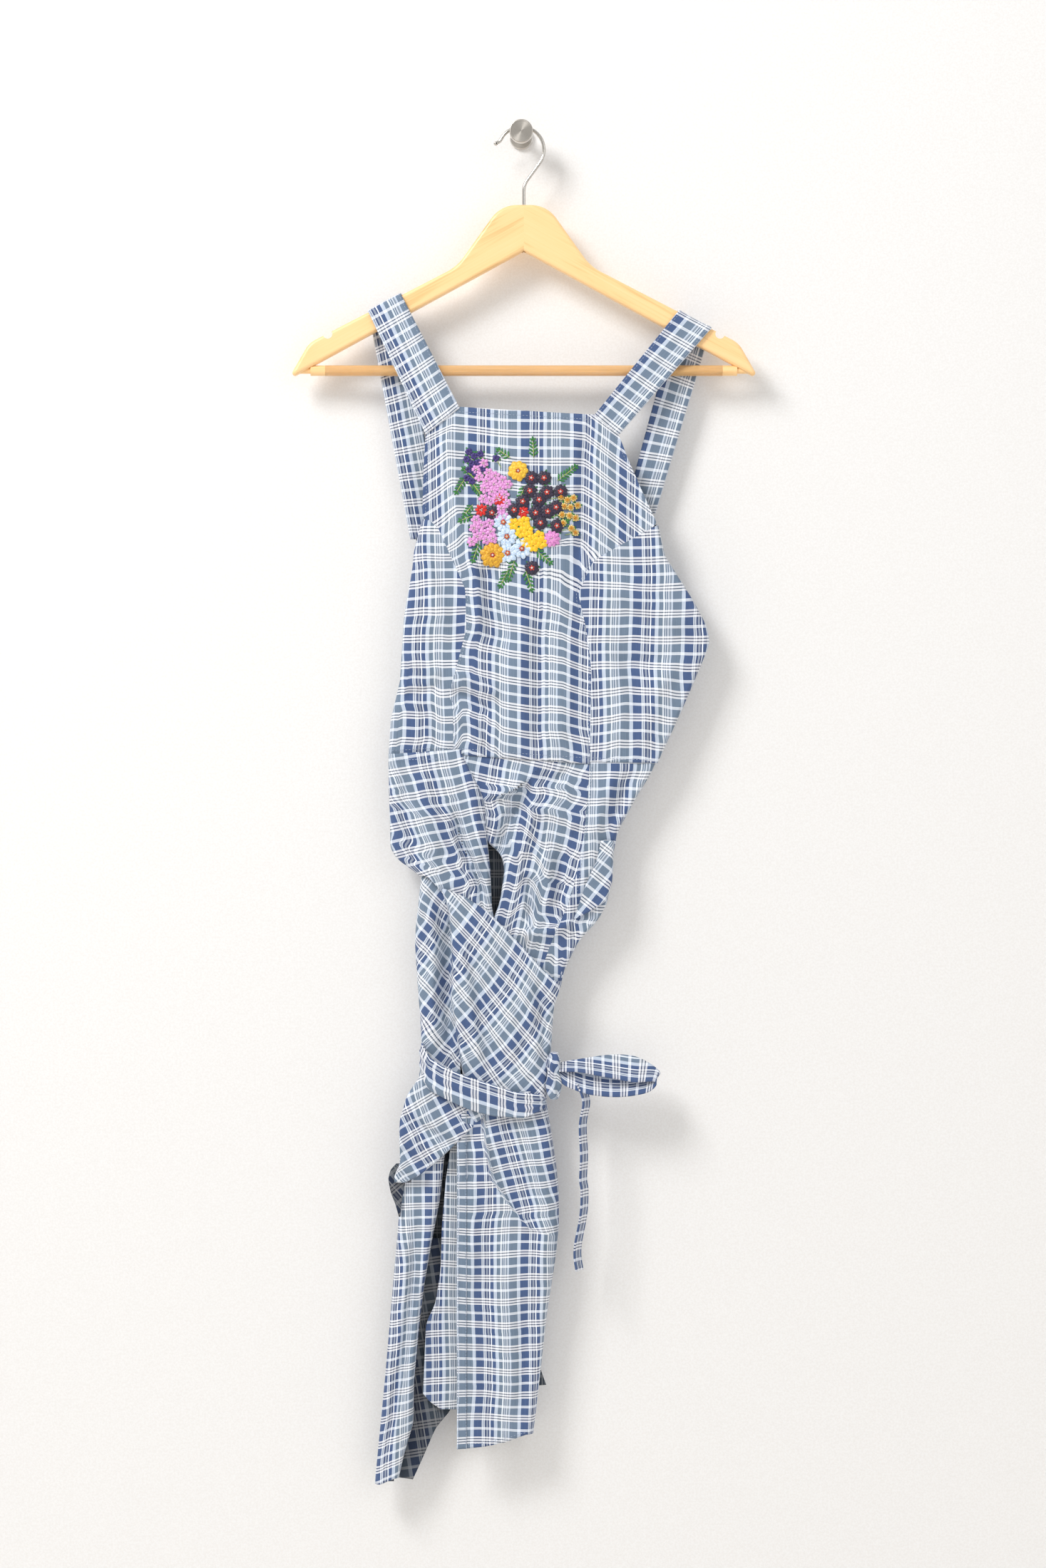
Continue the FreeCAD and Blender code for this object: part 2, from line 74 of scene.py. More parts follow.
# Weft yarns down one repeat: width, colour and how far they cover the warp
WEFT = [
    (1.8, "#FCFCFF", 0.62), (1.0, "#39435C", 0.50), (1.8, "#FCFCFF", 0.62), (1.0, "#39435C", 0.50),
    (1.8, "#FCFCFF", 0.62), (7.5, "#7F93B2", 0.06), (2.7, "#F4F8FF", 0.58), (7.4, "#7F93B2", 0.06),
]


# --- Colours and nodes ------------------------------------------------------------------------

def linear(colour):
    """A linear RGBA colour from an sRGB hex value. A colour already linear stays as it is."""
    if not isinstance(colour, str):
        return colour
    parts = [int(colour[i:i + 2], 16) / 255 for i in (1, 3, 5)]
    return [c / 12.92 if c <= 0.04045 else ((c + 0.055) / 1.055) ** 2.4 for c in parts] + [1.0]


def add(tree, kind, links=None, **settings):
    """Adds a node with its settings. links gives each input a value or another node's output."""
    made = tree.nodes.new(kind)
    for key, value in settings.items():
        setattr(made, key, value)
    for key, value in (links or {}).items():
        if isinstance(value, bpy.types.NodeSocket):
            tree.links.new(value, made.inputs[key])
        else:
            made.inputs[key].default_value = value
    return made


def new_material(name, **sockets):
    """A material with a Principled shader whose sockets have these values."""
    material = bpy.data.materials.new(name)
    material.use_nodes = True
    tree = material.node_tree
    shader = tree.nodes["Principled BSDF"]
    for key, value in sockets.items():
        shader.inputs[key.replace("_", " ")].default_value = value
    return material, tree, shader


def set_stops(ramp, stops, stepped=False):
    """Gives a colour ramp its stops, each a place from 0 to 1 and a linear colour."""
    band = ramp.color_ramp
    band.interpolation = "CONSTANT" if stepped else "LINEAR"
    while len(band.elements) < len(stops):
        band.elements.new(1.0)
    for element, (place, colour) in zip(band.elements, stops):
        element.position = place
        element.color = colour


def put_on(obj, *materials):
    """Replaces an object's materials."""
    obj.data.materials.clear()
    for material in materials:
        obj.data.materials.append(material)


# --- Materials --------------------------------------------------------------------------------

def yarn_stops(yarns, shade, dye):
    """Ramp stops for the yarns of one repeat. shade darkens them all, as painted shade for the inner side.
    dye deepens the dyed ones. Alpha is the cover.
    """
    whole = sum(yarn[0] for yarn in yarns)
    place = 0.0
    stops = []
    for yarn in yarns:
        red, green, blue, _ = linear(yarn[1])
        cover = yarn[2] if len(yarn) > 2 else 1.0
        # A shade under 1 darkens every yarn: painted shade for the cloth's inner side
        tone = shade * (dye if max(red, green, blue) < 0.70 else 1.0)
        stops.append((place / whole, (red * tone, green * tone, blue * tone, cover)))
        place += yarn[0]
    return stops


def plaid_cotton(name, shade, sizes):
    """Yarn-dyed cotton poplin, plain woven and washed.

    Coloured warp under a white and dark weft gives crisp checks with softer crossings, a matt
    surface with a slight bloom, and yarns that vary a little along their length.
    """
    material, tree, shader = new_material(
        name, Roughness=0.86, Sheen_Weight=0.12, Sheen_Roughness=0.5, IOR=1.5)
    shader.inputs["Specular IOR Level"].default_value = 0.3
    place = add(tree, "ShaderNodeUVMap", uv_map="cloth")
    axes = add(tree, "ShaderNodeSeparateXYZ", {0: place.outputs[0]})
    # Hand-woven waver of a yarn's line, about a third of a millimetre
    waver = add(tree, "ShaderNodeTexNoise", {"Vector": place.outputs[0], "Scale": 45.0, "Detail": 1.0})
    layers = []
    for axis, yarns, repeat in ((0, WARP, sizes.warp_repeat), (1, WEFT, sizes.weft_repeat)):
        push = add(tree, "ShaderNodeMath", {0: waver.outputs[0], 1: 0.0008, 2: axes.outputs[axis]},
                   operation="MULTIPLY_ADD")
        turns = add(tree, "ShaderNodeMath", {0: push.outputs[0], 1: 1.0 / repeat},
                    operation="MULTIPLY")
        part = add(tree, "ShaderNodeMath", {0: turns.outputs[0]}, operation="FRACT")
        ramp = add(tree, "ShaderNodeValToRGB", {0: part.outputs[0]})
        set_stops(ramp, yarn_stops(yarns, shade, sizes.dye), stepped=True)
        # Streaks run along the yarns: 1.1 mm apart across them and 60 mm long
        stretch = (900.0, 16.0, 1.0) if axis == 0 else (16.0, 900.0, 1.0)
        along = add(tree, "ShaderNodeMapping", {"Vector": place.outputs[0], "Scale": stretch})
        streak = add(tree, "ShaderNodeTexNoise",
                     {"Vector": along.outputs[0], "Scale": 1.0, "Detail": 2.0})
        lift = add(tree, "ShaderNodeMapRange", {0: streak.outputs[0], 3: 0.8, 4: 1.2})
        tone = add(tree, "ShaderNodeMix", {0: 1.0, 6: ramp.outputs[0], 7: lift.outputs[0]},
                   data_type="RGBA", blend_type="MULTIPLY")
        layers.append((tone.outputs[2], ramp.outputs[1]))
    # The threads are 0.25 mm apart, too fine to show, so the weave is drawn at 0.8 mm
    waves = [add(tree, "ShaderNodeMath",
                 {0: add(tree, "ShaderNodeMath", {0: axes.outputs[axis], 1: 2 * math.pi / 0.0008},
                         operation="MULTIPLY").outputs[0]}, operation="SINE") for axis in (0, 1)]
    weave = add(tree, "ShaderNodeMath", {0: waves[0].outputs[0], 1: waves[1].outputs[0]},
                operation="MULTIPLY")
    cover = add(tree, "ShaderNodeMath", {0: weave.outputs[0], 1: 0.1, 2: layers[1][1]},
                operation="MULTIPLY_ADD", use_clamp=True)
    checks = add(tree, "ShaderNodeMix", {0: cover.outputs[0], 6: layers[0][0], 7: layers[1][0]},
                 data_type="RGBA")
    tree.links.new(checks.outputs[2], shader.inputs["Base Color"])
    # Crumple left by washing, about 9 mm across, under the weave
    crumple = add(tree, "ShaderNodeTexNoise",
                  {"Vector": place.outputs[0], "Scale": 110.0, "Detail": 3.0})
    relief = add(tree, "ShaderNodeMath", {0: weave.outputs[0], 1: 0.1, 2: crumple.outputs[0]},
                 operation="MULTIPLY_ADD")
    bump = add(tree, "ShaderNodeBump", {"Strength": 0.35, "Distance": 0.0008,
                                        "Height": relief.outputs[0]})
    tree.links.new(bump.outputs[0], shader.inputs["Normal"])
    return material


def lacquered_beech(name, tilt, sizes):
    """Beech, sawn along the arm, sanded and clear lacquered.

    Pale honey wood with fine long grain, faint broad figure and a soft satin highlight.
    """
    material, tree, shader = new_material(name, Roughness=0.42, Coat_Weight=0.25,
                                          Coat_Roughness=0.22, IOR=1.5)
    place = add(tree, "ShaderNodeTexCoord")
    turned = add(tree, "ShaderNodeMapping",
                 {"Vector": place.outputs["Object"], "Rotation": (0.0, tilt, 0.0)})
    # Growth lines 2.5 mm apart that run the length of the arm
    grain = add(tree, "ShaderNodeMapping", {"Vector": turned.outputs[0], "Scale": (9.0, 260.0, 400.0)})
    lines = add(tree, "ShaderNodeTexNoise",
                {"Vector": grain.outputs[0], "Scale": 1.0, "Detail": 4.0, "Distortion": 0.6})
    broad = add(tree, "ShaderNodeMapping", {"Vector": turned.outputs[0], "Scale": (8.0, 30.0, 34.0)})
    figure = add(tree, "ShaderNodeTexNoise",
                 {"Vector": broad.outputs[0], "Scale": 1.0, "Detail": 2.0, "Distortion": 1.5})
    both = add(tree, "ShaderNodeMix", {0: 0.45, 2: lines.outputs[0], 3: figure.outputs[0]})
    ramp = add(tree, "ShaderNodeValToRGB", {0: both.outputs[0]})
    red, green, blue = sizes.wood_colour
    set_stops(ramp, [(0.30, (red * 0.80, green * 0.73, blue * 0.60, 1)), (0.47, (red, green, blue, 1)),
                     (0.72, (red * 1.06, green * 1.09, blue * 1.2, 1))])
    tree.links.new(ramp.outputs[0], shader.inputs["Base Color"])
    bump = add(tree, "ShaderNodeBump", {"Strength": 0.12, "Distance": 0.0003,
                                        "Height": lines.outputs[0]})
    tree.links.new(bump.outputs[0], shader.inputs["Normal"])
    return material


def turned_steel(name, rings, anisotropy, roughness, colour="#C9C3BA"):
    """Steel, turned on a lathe or drawn through a die, and bare or zinc plated.

    Fine marks round the axis stretch the highlight across them into a bright bow tie.
    """
    material, tree, shader = new_material(name, Metallic=1.0, Roughness=roughness,
                                          Anisotropic=anisotropy)
    place = add(tree, "ShaderNodeTexCoord")
    axes = add(tree, "ShaderNodeSeparateXYZ", {0: place.outputs["Object"]})
    flat = add(tree, "ShaderNodeCombineXYZ", {0: axes.outputs[0], 1: axes.outputs[2]})
    radius = add(tree, "ShaderNodeVectorMath", {0: flat.outputs[0]}, operation="LENGTH")
    # Tool marks, drawn 0.4 mm apart so that they show
    marks = add(tree, "ShaderNodeMath", {0: radius.outputs["Value"], 1: 2500.0 if rings else 0.0},
                operation="MULTIPLY")
    scuffs = add(tree, "ShaderNodeTexNoise",
                 {"Vector": place.outputs["Object"], "Scale": 700.0, "Detail": 3.0})
    height = add(tree, "ShaderNodeTexNoise", {"W": marks.outputs[0], "Scale": 1.0, "Detail": 2.0},
                 noise_dimensions="1D")
    both = add(tree, "ShaderNodeMix", {0: 0.7 if rings else 0.0, 2: scuffs.outputs[0],
                                       3: height.outputs[0]})
    ramp = add(tree, "ShaderNodeValToRGB", {0: both.outputs[0]})
    tint = linear(colour)
    set_stops(ramp, [(0.3, [c * 0.82 for c in tint[:3]] + [1]), (0.7, tint)])
    tree.links.new(ramp.outputs[0], shader.inputs["Base Color"])
    bump = add(tree, "ShaderNodeBump", {"Strength": 0.1, "Distance": 0.00008,
                                        "Height": both.outputs[0]})
    tree.links.new(bump.outputs[0], shader.inputs["Normal"])
    if anisotropy:
        around = add(tree, "ShaderNodeTangent", direction_type="RADIAL", axis="Y")
        tree.links.new(around.outputs[0], shader.inputs["Tangent"])
    return material


def speckled(name, light, dark, grit, roughness, **sockets):
    """A moulded or spun material with grain of one size, in mm, between two close tones."""
    material, tree, shader = new_material(name, Roughness=roughness, **sockets)
    place = add(tree, "ShaderNodeTexCoord")
    noise = add(tree, "ShaderNodeTexNoise", {"Vector": place.outputs["Object"],
                                             "Scale": 1000.0 / grit, "Detail": 3.0})
    ramp = add(tree, "ShaderNodeValToRGB", {0: noise.outputs[0]})
    set_stops(ramp, [(0.35, linear(dark)), (0.65, linear(light))])
    tree.links.new(ramp.outputs[0], shader.inputs["Base Color"])
    bump = add(tree, "ShaderNodeBump", {"Strength": 0.3, "Distance": 0.0002,
                                        "Height": noise.outputs[0]})
    tree.links.new(bump.outputs[0], shader.inputs["Normal"])
    return material


def clear_vinyl():
    """Clear soft PVC tube, extruded, that stops trousers slipping.

    It is seen as a slightly deeper wood colour with a wet-looking highlight.
    """
    material = speckled("clear_vinyl", "#F3CF8C", "#E9BF74", 3.0, 0.16, IOR=1.53)
    shader = material.node_tree.nodes["Principled BSDF"]
    # A wall 0.4 mm thick is nearly invisible, so it is drawn as a thin tinted film
    shader.inputs["Alpha"].default_value = 0.14
    return material


def ribbon_thread(name, light, dark):
    """Rayon embroidery ribbon, spun and laid in satin stitches.

    Fine parallel threads catch a silky light that changes along each petal.
    """
    return speckled(name, light, dark, 1.6, 0.5, Sheen_Weight=0.35, IOR=1.53)


# --- Cloth shapes -----------------------------------------------------------------------------

def edge_line(keys, soft=4.0):
    """x of a cloth's side at each z, from keys listed downward, eased over soft mm at corners."""
    keys = np.array(keys, float)
    drop = np.arange(-keys[0, 1], -keys[-1, 1] + 1.0, 1.0)
    x = np.interp(drop, -keys[:, 1], keys[:, 0])
    reach = min(int(3 * soft), len(x) - 2)
    if reach > 0:
        kernel = np.exp(-(np.arange(-reach, reach + 1) / soft) ** 2 / 2)
        ends = (2 * x[0] - x[reach:0:-1], x, 2 * x[-1] - x[-2:-reach - 2:-1])
        x = np.convolve(np.concatenate(ends), kernel / kernel.sum(), "valid")
    return lambda z: np.interp(-z, drop, x)


def smooth_path(keys, count):
    """Points along a smooth curve through the keys."""
    keys = np.array(keys, float)
    padded = np.vstack([2 * keys[0] - keys[1], keys, 2 * keys[-1] - keys[-2]])
    place = np.linspace(0, len(keys) - 1, count)
    step = np.minimum(place.astype(int), len(keys) - 2)
    t = (place - step)[:, None]
    a, b, c, d = (padded[step + i] for i in range(4))
    return 0.5 * (2 * b + (c - a) * t + (2 * a - 5 * b + 4 * c - d) * t ** 2
                  + (3 * b - a - 3 * c + d) * t ** 3)


def fold_height(x, z, folds):
    """How far folds stand forward. Each is its line, height and half width to either side."""
    total = np.zeros_like(x)
    for line, height, first, second in folds:
        line = np.array(line, float)
        best = np.full(x.shape, 1e9)
        side = np.zeros_like(x)
        along = np.zeros_like(x)
        lengths = np.hypot(*np.diff(line, axis=0).T)
        start = np.concatenate([[0], np.cumsum(lengths)])
        for i, (a, b) in enumerate(zip(line[:-1], line[1:])):
            run = b - a
            t = ((x - a[0]) * run[0] + (z - a[1]) * run[1]) / lengths[i] ** 2
            t = np.clip(t, 0, 1)
            gap = np.hypot(x - a[0] - t * run[0], z - a[1] - t * run[1])
            turn = np.sign(run[0] * (z - a[1]) - run[1] * (x - a[0]))
            near = gap < best
            best = np.where(near, gap, best)
            side = np.where(near, turn, side)
            along = np.where(near, start[i] + t * lengths[i], along)
        wide = np.where(side > 0, first, second)
        fade = np.clip(np.minimum(along, start[-1] - along) / (0.2 * start[-1]), 0.15, 1)
        total += height * fade * np.exp(-(best / wide) ** 2)
    return total


def ripple(x, z, size=1.0):
    """Small uneven waves that hanging cloth keeps."""
    bend = 6 * np.sin(z / 47 + 1.3) + 4 * np.sin(z / 23 + x / 61)
    return size * (0.45 * np.sin((x + bend) / 9.5) + 0.3 * np.sin((x - 0.4 * z + bend) / 13)
                   + 0.25 * np.sin((z + 0.3 * x) / 11 + 0.8) * np.sin(x / 17))


def cloth_lengths(points):
    """Distance along the rows and down the columns of a grid of points."""
    across = np.zeros(points.shape[:2])
    across[:, 1:] = np.cumsum(np.linalg.norm(np.diff(points, axis=1), axis=2), axis=1)
    down = np.zeros(points.shape[:2])
    down[1:] = np.cumsum(np.linalg.norm(np.diff(points, axis=0), axis=2), axis=0)
    return across, down


def grid_normals(points):
    """Unit normals of a grid of points, towards the viewer for a sheet that faces them."""
    across = np.gradient(points, axis=1)
    down = np.gradient(points, axis=0)
    normal = np.cross(across, -down)
    front = points[..., 1] <= np.quantile(points[..., 1], 0.3)
    normal = -normal * np.sign(normal[..., 1][front].mean() or 1)
    return normal / np.maximum(np.linalg.norm(normal, axis=2, keepdims=True), 1e-9)


def cloth_object(name, points, place, thickness, materials):
    """A solid sheet from a grid of points in mm, with each point's place in the flat cloth."""
    rows, columns = points.shape[:2]
    normal = grid_normals(points)
    both = np.concatenate([points, points - normal * thickness]).reshape(-1, 3) * MM
    index = np.arange(rows * columns).reshape(rows, columns)
    quads = np.stack([index[:-1, :-1], index[1:, :-1], index[1:, 1:], index[:-1, 1:]], -1).reshape(-1, 4)
    a, b, c = (both[quads[len(quads) // 2, i]] for i in range(3))
    facing = np.dot(np.cross(b - a, c - a), normal.reshape(-1, 3)[quads[len(quads) // 2, 0]])
    if facing < 0:
        quads = quads[:, ::-1]
    layer = rows * columns
    faces = [quads, quads[:, ::-1] + layer]
    rim = np.concatenate([index[0], index[1:, -1], index[-1, -2::-1], index[-2:0:-1, 0]])
    after = np.roll(rim, -1)
    around = np.stack([rim, after, after + layer, rim + layer], -1)
    faces.append(around if facing >= 0 else around[:, ::-1])
    faces = np.concatenate(faces)
    mesh = bpy.data.meshes.new(name)
    mesh.from_pydata(both.tolist(), [], faces.tolist())
    obj = bpy.data.objects.new(name, mesh)
    bpy.context.scene.collection.objects.link(obj)
    flat = np.tile(place.reshape(-1, 2) * MM, (2, 1))
    corners = np.empty(len(mesh.loops), int)
    mesh.loops.foreach_get("vertex_index", corners)
    layer_uv = mesh.uv_layers.new(name="cloth")
    layer_uv.data.foreach_set("uv", flat[corners].ravel())
    put_on(obj, *materials)
    if len(materials) > 1:
        kind = np.zeros(len(faces), int)
        kind[len(quads):2 * len(quads)] = 1
        mesh.polygons.foreach_set("material_index", kind)
    mesh.polygons.foreach_set("use_smooth", np.ones(len(faces), bool))
    mesh.update()
    return obj


def spin(u, v, degrees):
    """Turns a place in the flat cloth, for a piece cut or hung off the straight grain."""
    a = math.radians(degrees)
    return u * math.cos(a) - v * math.sin(a), u * math.sin(a) + v * math.cos(a)


def panel_grid(left, right, top, bottom, depth, relief, rolls=(0, 0), turn=-19.5, soft=4.0,
               pitch=2.6):
    """Points and cloth places of a panel between two sides, a top and a bottom.

    left and right are keys of x and z. top and bottom are keys of the share across and z.
    A side with a roll turns round to the depth called turn, and tucks in behind.
    """
    side_left = edge_line(left, soft)
    side_right = edge_line(right, soft)
    top = np.array(top, float)
    bottom = np.array(bottom, float)
    tall = abs(top[:, 1].mean() - bottom[:, 1].mean())
    rows = max(int(tall / pitch), 6)
    widest = max(side_right(z) - side_left(z) for z in np.linspace(top[0, 1], bottom[0, 1], 9))
    count = max(int(widest / pitch), 6)
    down = np.linspace(0, 1, rows)[:, None]
    share = np.linspace(0, 1, count)[None, :]
    # Closer columns along both sides, so that an edge keeps its shape
    share = np.sort(np.concatenate([share[0], [0.6 / widest, 1.6 / widest,
                                               1 - 1.6 / widest, 1 - 0.6 / widest]]))[None, :]
    z = (np.interp(share, top[:, 0], top[:, 1]) * (1 - down)
         + np.interp(share, bottom[:, 0], bottom[:, 1]) * down)
    begin = side_left(z) + rolls[0]
    end = side_right(z) - rolls[1]
    x = begin + (end - begin) * share
    forward = relief(x, z)
    y = depth - forward
    reference = np.abs(x).argmin(axis=1)
    parts = [np.stack([x, y, z], -1)]
    # Columns round a rolled edge, and behind it
    bends = 10
    tucks = 4
    for side, roll in ((0, rolls[0]), (1, rolls[1])):
        if not roll:
            continue
        edge = slice(-1, None) if side else slice(0, 1)
        way = 1 if side else -1
        x0 = x[:, edge]
        y0 = y[:, edge]
        z0 = z[:, edge]
        angle = np.linspace(0, math.pi, bends + 1)[None, 1:]
        half = (turn - y0) / 2
        bend_x = x0 + way * roll * np.sin(angle)
        bend_y = y0 + half * (1 - np.cos(angle))
        tuck = np.linspace(3, 12, tucks)[None, :]
        tuck_x = x0 - way * tuck
        tuck_y = np.repeat(bend_y[:, -1:], tucks, axis=1)
        extra = np.stack([np.hstack([bend_x, tuck_x]), np.hstack([bend_y, tuck_y]),
                          np.repeat(z0, bends + tucks, axis=1)], -1)
        if side:
            parts.append(extra)
        else:
            parts.insert(0, extra[:, ::-1])
            reference = reference + bends + tucks
    points = np.concatenate(parts, axis=1)
    across, fall = cloth_lengths(points)
    rows_index = np.arange(rows)
    u = across - across[rows_index, reference][:, None] + points[rows_index, reference, 0][:, None]
    straight = np.zeros(points.shape[:2])
    flat_step = np.linalg.norm(np.diff(points[..., [0, 2]], axis=0), axis=2)
    straight[1:] = np.cumsum(flat_step, axis=0)
    v = -points[..., 2] + (fall - straight)
    return points, u, v


def panel(name, nodes, left, right, top, bottom, depth, relief, look, grain=0.0, shift=(0, 0),
          bend=None, thickness=None, **shape):
    """A cloth panel that rides on the apron and stands for the CAD nodes it is given.

    nodes is None for a piece that only adds to another. The panel is one layer of the cloth
    thick, unless a thickness is given in mm.
    """
    thickness = thickness or bpy.context.scene.apron_cloth.cloth_thickness / MM
    points, u, v = panel_grid(left, right, top, bottom, depth, relief, **shape)
    if bend:
        u, v = bend(points[..., 0], points[..., 2], u, v)
    u, v = spin(u, v, grain)
    place = np.stack([u + shift[0], v + shift[1]], -1)
    obj = cloth_object(name, points, place, thickness, look)
    if nodes:
        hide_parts(*nodes)
    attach(obj, "apron")
    return obj


def band_grid(first, second, count, across, crown=0.0):
    """Points and cloth places of a band between two edges in space."""
    first = smooth_path(first, count)
    second = smooth_path(second, count)
    share = np.linspace(0, 1, across)[None, :, None]
    points = first[:, None, :] * (1 - share) + second[:, None, :] * share
    side = second - first
    along = np.gradient((first + second) / 2, axis=0)
    out = np.cross(side, along)
    out /= np.maximum(np.linalg.norm(out, axis=1, keepdims=True), 1e-9)
    bulge = crown * (1 - (2 * share - 1) ** 2)
    points = points + out[:, None, :] * bulge
    width = np.linalg.norm(side, axis=1)[:, None] * share[..., 0]
    middle = (first + second) / 2
    run = np.concatenate([[0], np.cumsum(np.linalg.norm(np.diff(middle, axis=0), axis=1))])
    return points, width, np.repeat(run[:, None], across, axis=1)


def stitch_row(paths, every=3.2, length=2.1, thick=0.28):
    """Vertices and faces of stitches laid along paths of points in mm."""
    verts = []
    faces = []
    for path in paths:
        path = np.array(path, float)
        steps = np.linalg.norm(np.diff(path, axis=0), axis=1)
        run = np.concatenate([[0], np.cumsum(steps)])
        for begin in np.arange(0.5, run[-1] - length, every):
            ends = [np.array([np.interp(begin + d, run, path[:, i]) for i in range(3)])
                    for d in (0, length / 2, length)]
            way = (ends[2] - ends[0]) / max(np.linalg.norm(ends[2] - ends[0]), 1e-9)
            side = np.cross(way, [0, 1, 0])
            side = side / max(np.linalg.norm(side), 1e-9)
            front = np.cross(side, way)
            base = len(verts)
            for point, wide in zip(ends, (0.45, 1.0, 0.45)):
                for turn in range(6):
                    a = turn * math.pi / 3
                    verts.append(point + thick * wide * (side * math.cos(a) + front * math.sin(a)))
            for ring in (0, 6):
                for turn in range(6):
                    after = (turn + 1) % 6
                    faces.append((base + ring + turn, base + ring + after,
                                  base + ring + 6 + after, base + ring + 6 + turn))
            faces.append(tuple(base + i for i in range(5, -1, -1)))
            faces.append(tuple(base + 12 + i for i in range(6)))
    return verts, faces


def sew(context, name, paths, body="apron"):
    """Stitches along paths, in the apron's thread."""
    verts, faces = stitch_row(paths)
    return detail_object(name, verts, faces, thread(context), body)


def detail_object(name, verts, faces, material, body="apron"):
    """A mesh of small raised details, such as stitches or petals, that rides on a body."""
    mesh = bpy.data.meshes.new(name)
    mesh.from_pydata((np.array(verts) * MM).tolist(), [], faces)
    mesh.polygons.foreach_set("use_smooth", np.ones(len(mesh.polygons), bool))
    mesh.update()
    obj = bpy.data.objects.new(name, mesh)
    bpy.context.scene.collection.objects.link(obj)
    put_on(obj, material)
    if body:
        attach(obj, body)
    return obj


# --- Folds of each part of the apron ----------------------------------------------------------

BODICE_FOLDS = [
    ([(-70, -276), (-72, -298), (-63, -357), (-50, -395)], 3.6, 9, 6),
    ([(62, -278), (60, -330), (58, -376), (54, -428)], -4.2, 7, 6),
    ([(-34, -405), (-27, -450), (-12, -500)], -5.5, 11, 13),
    ([(-48, -400), (-40, -440), (-44, -490)], 4.2, 7, 7),
    ([(4, -440), (-4, -520), (4, -600)], 4.6, 12, 12),
    ([(38, -420), (44, -480), (40, -560), (34, -600)], 4.0, 10, 12),
    ([(20, -450), (20, -520), (20, -600)], -2.6, 6, 8),
    ([(-64, -516), (-42, -524), (-18, -540)], 5.6, 5, 8),
    ([(-69, -534), (-48, -541), (-28, -558)], -5.0, 4, 6),
    ([(-66, -555), (-46, -566), (-36, -590)], 4.0, 5, 6),
    ([(-95, -400), (-84, -440), (-70, -480)], 4.0, 8, 8),
    ([(-112, -500), (-90, -512), (-72, -520)], 3.4, 6, 8),
    ([(-118, -540), (-96, -536), (-74, -530)], -3.0, 5, 6),
    ([(-100, -548), (-86, -556), (-74, -590)], -3.6, 7, 7),
    ([(76, -430), (120, -452), (170, -480)], 4.6, 14, 10),
    ([(70, -500), (108, -508), (150, -502)], -2.6, 7, 9),
    ([(78, -480), (96, -540), (92, -600)], 3.6, 10, 12),
    ([(150, -500), (126, -540), (112, -596)], 3.2, 10, 10),
]
SKIRT_FOLDS = [
    ([(-64, -640), (-60, -668), (-54, -687), (-42, -710), (-34, -745)], -9.0, 4, 4),
    ([(-58, -600), (-46, -630), (-42, -670), (-40, -720)], 4.5, 5, 4),
    ([(-95, -600), (-88, -650), (-78, -700)], 4.4, 9, 9),
    ([(-112, -610), (-108, -660), (-98, -704)], -3.0, 6, 6),
    ([(-33, -638), (-7, -630), (10, -616)], 7.0, 12, 2),
    ([(4, -634), (-10, -655), (-20, -680), (-20, -700)], -8.0, 6, 6),
    ([(14, -610), (30, -622), (50, -606)], -4.2, 5, 6),
    ([(16, -634), (8, -662), (0, -700)], 5.0, 7, 8),
    ([(18, -640), (40, -655), (58, -668)], 4.0, 10, 8),
    ([(4, -706), (10, -742), (4, -757)], -7.0, 5, 5),
    ([(23, -680), (25, -723), (22, -750)], 5.0, 7, 8),
    ([(40, -680), (38, -715), (34, -745)], -3.6, 5, 6),
    ([(90, -606), (78, -640), (66, -680)], 4.6, 9, 7),
    ([(112, -606), (98, -634), (86, -662)], -3.6, 6, 7),
    ([(54, -752), (20, -763), (-6, -763)], 6.0, 9, 2),
    ([(-92, -722), (-84, -770), (-84, -830), (-84, -890)], 5.0, 6, 6),
    ([(-76, -728), (-76, -790), (-80, -860)], -4.0, 4, 5),
    ([(-66, -735), (-70, -790), (-71, -840), (-66, -885)], -9.0, 4, 5),
]
WRAP_FOLDS = [
    ([(-60, -738), (-34, -776), (-12, -830), (-4, -910)], 4.6, 9, 8),
    ([(-60, -770), (-50, -830), (-38, -905)], 4.0, 5, 5),
    ([(-50, -770), (-40, -820), (-26, -905)], -5.0, 5, 6),
    ([(-20, -776), (6, -818), (14, -905)], 5.0, 8, 7),
    ([(14, -806), (22, -840), (22, -900)], -4.2, 5, 5),
    ([(30, -830), (6, -870), (-14, -908)], -3.0, 6, 7),
    ([(-66, -790), (-58, -850), (-52, -905)], 3.0, 5, 5),
]
LOWER_FOLDS = [
    ([(-36.7, -949), (-32.8, -976), (-28.8, -998), (-9, -1027), (6, -1046), (14, -1054)], 6.0, 3, 12),
    ([(-49.7, -962), (-40.5, -989), (-28, -1001)], 2.2, 2.5, 7),
    ([(12, -950), (20, -990), (24, -1040), (16, -1110)], 4.6, 7, 6),
    ([(0, -945), (8, -990), (12, -1030)], -4.0, 5, 6),
    ([(-50, -950), (-49, -975), (-50, -1010)], -4.5, 3, 4),
    ([(-46, -990), (-46, -1050), (-50, -1120)], 2.6, 5, 6),
    ([(-10, -1050), (-14, -1130), (-8, -1230)], 3.6, 10, 10),
    ([(-34, -1030), (-36, -1120), (-34, -1240)], -3.0, 9, 9),
    ([(8, -1100), (4, -1170), (0, -1235)], -3.2, 7, 7),
]
FLAP_FOLDS = [
    ([(-84, -985), (-88, -1050), (-100, -1130), (-112, -1210), (-124, -1280)], 5.0, 6, 5),
    ([(-98, -1030), (-104, -1100), (-116, -1190), (-132, -1280)], -4.6, 4, 5),
    ([(-108, -1040), (-112, -1120), (-122, -1200)], 4.0, 5, 5),
    ([(-96, -1120), (-104, -1190), (-110, -1250)], 3.2, 4, 4),
]


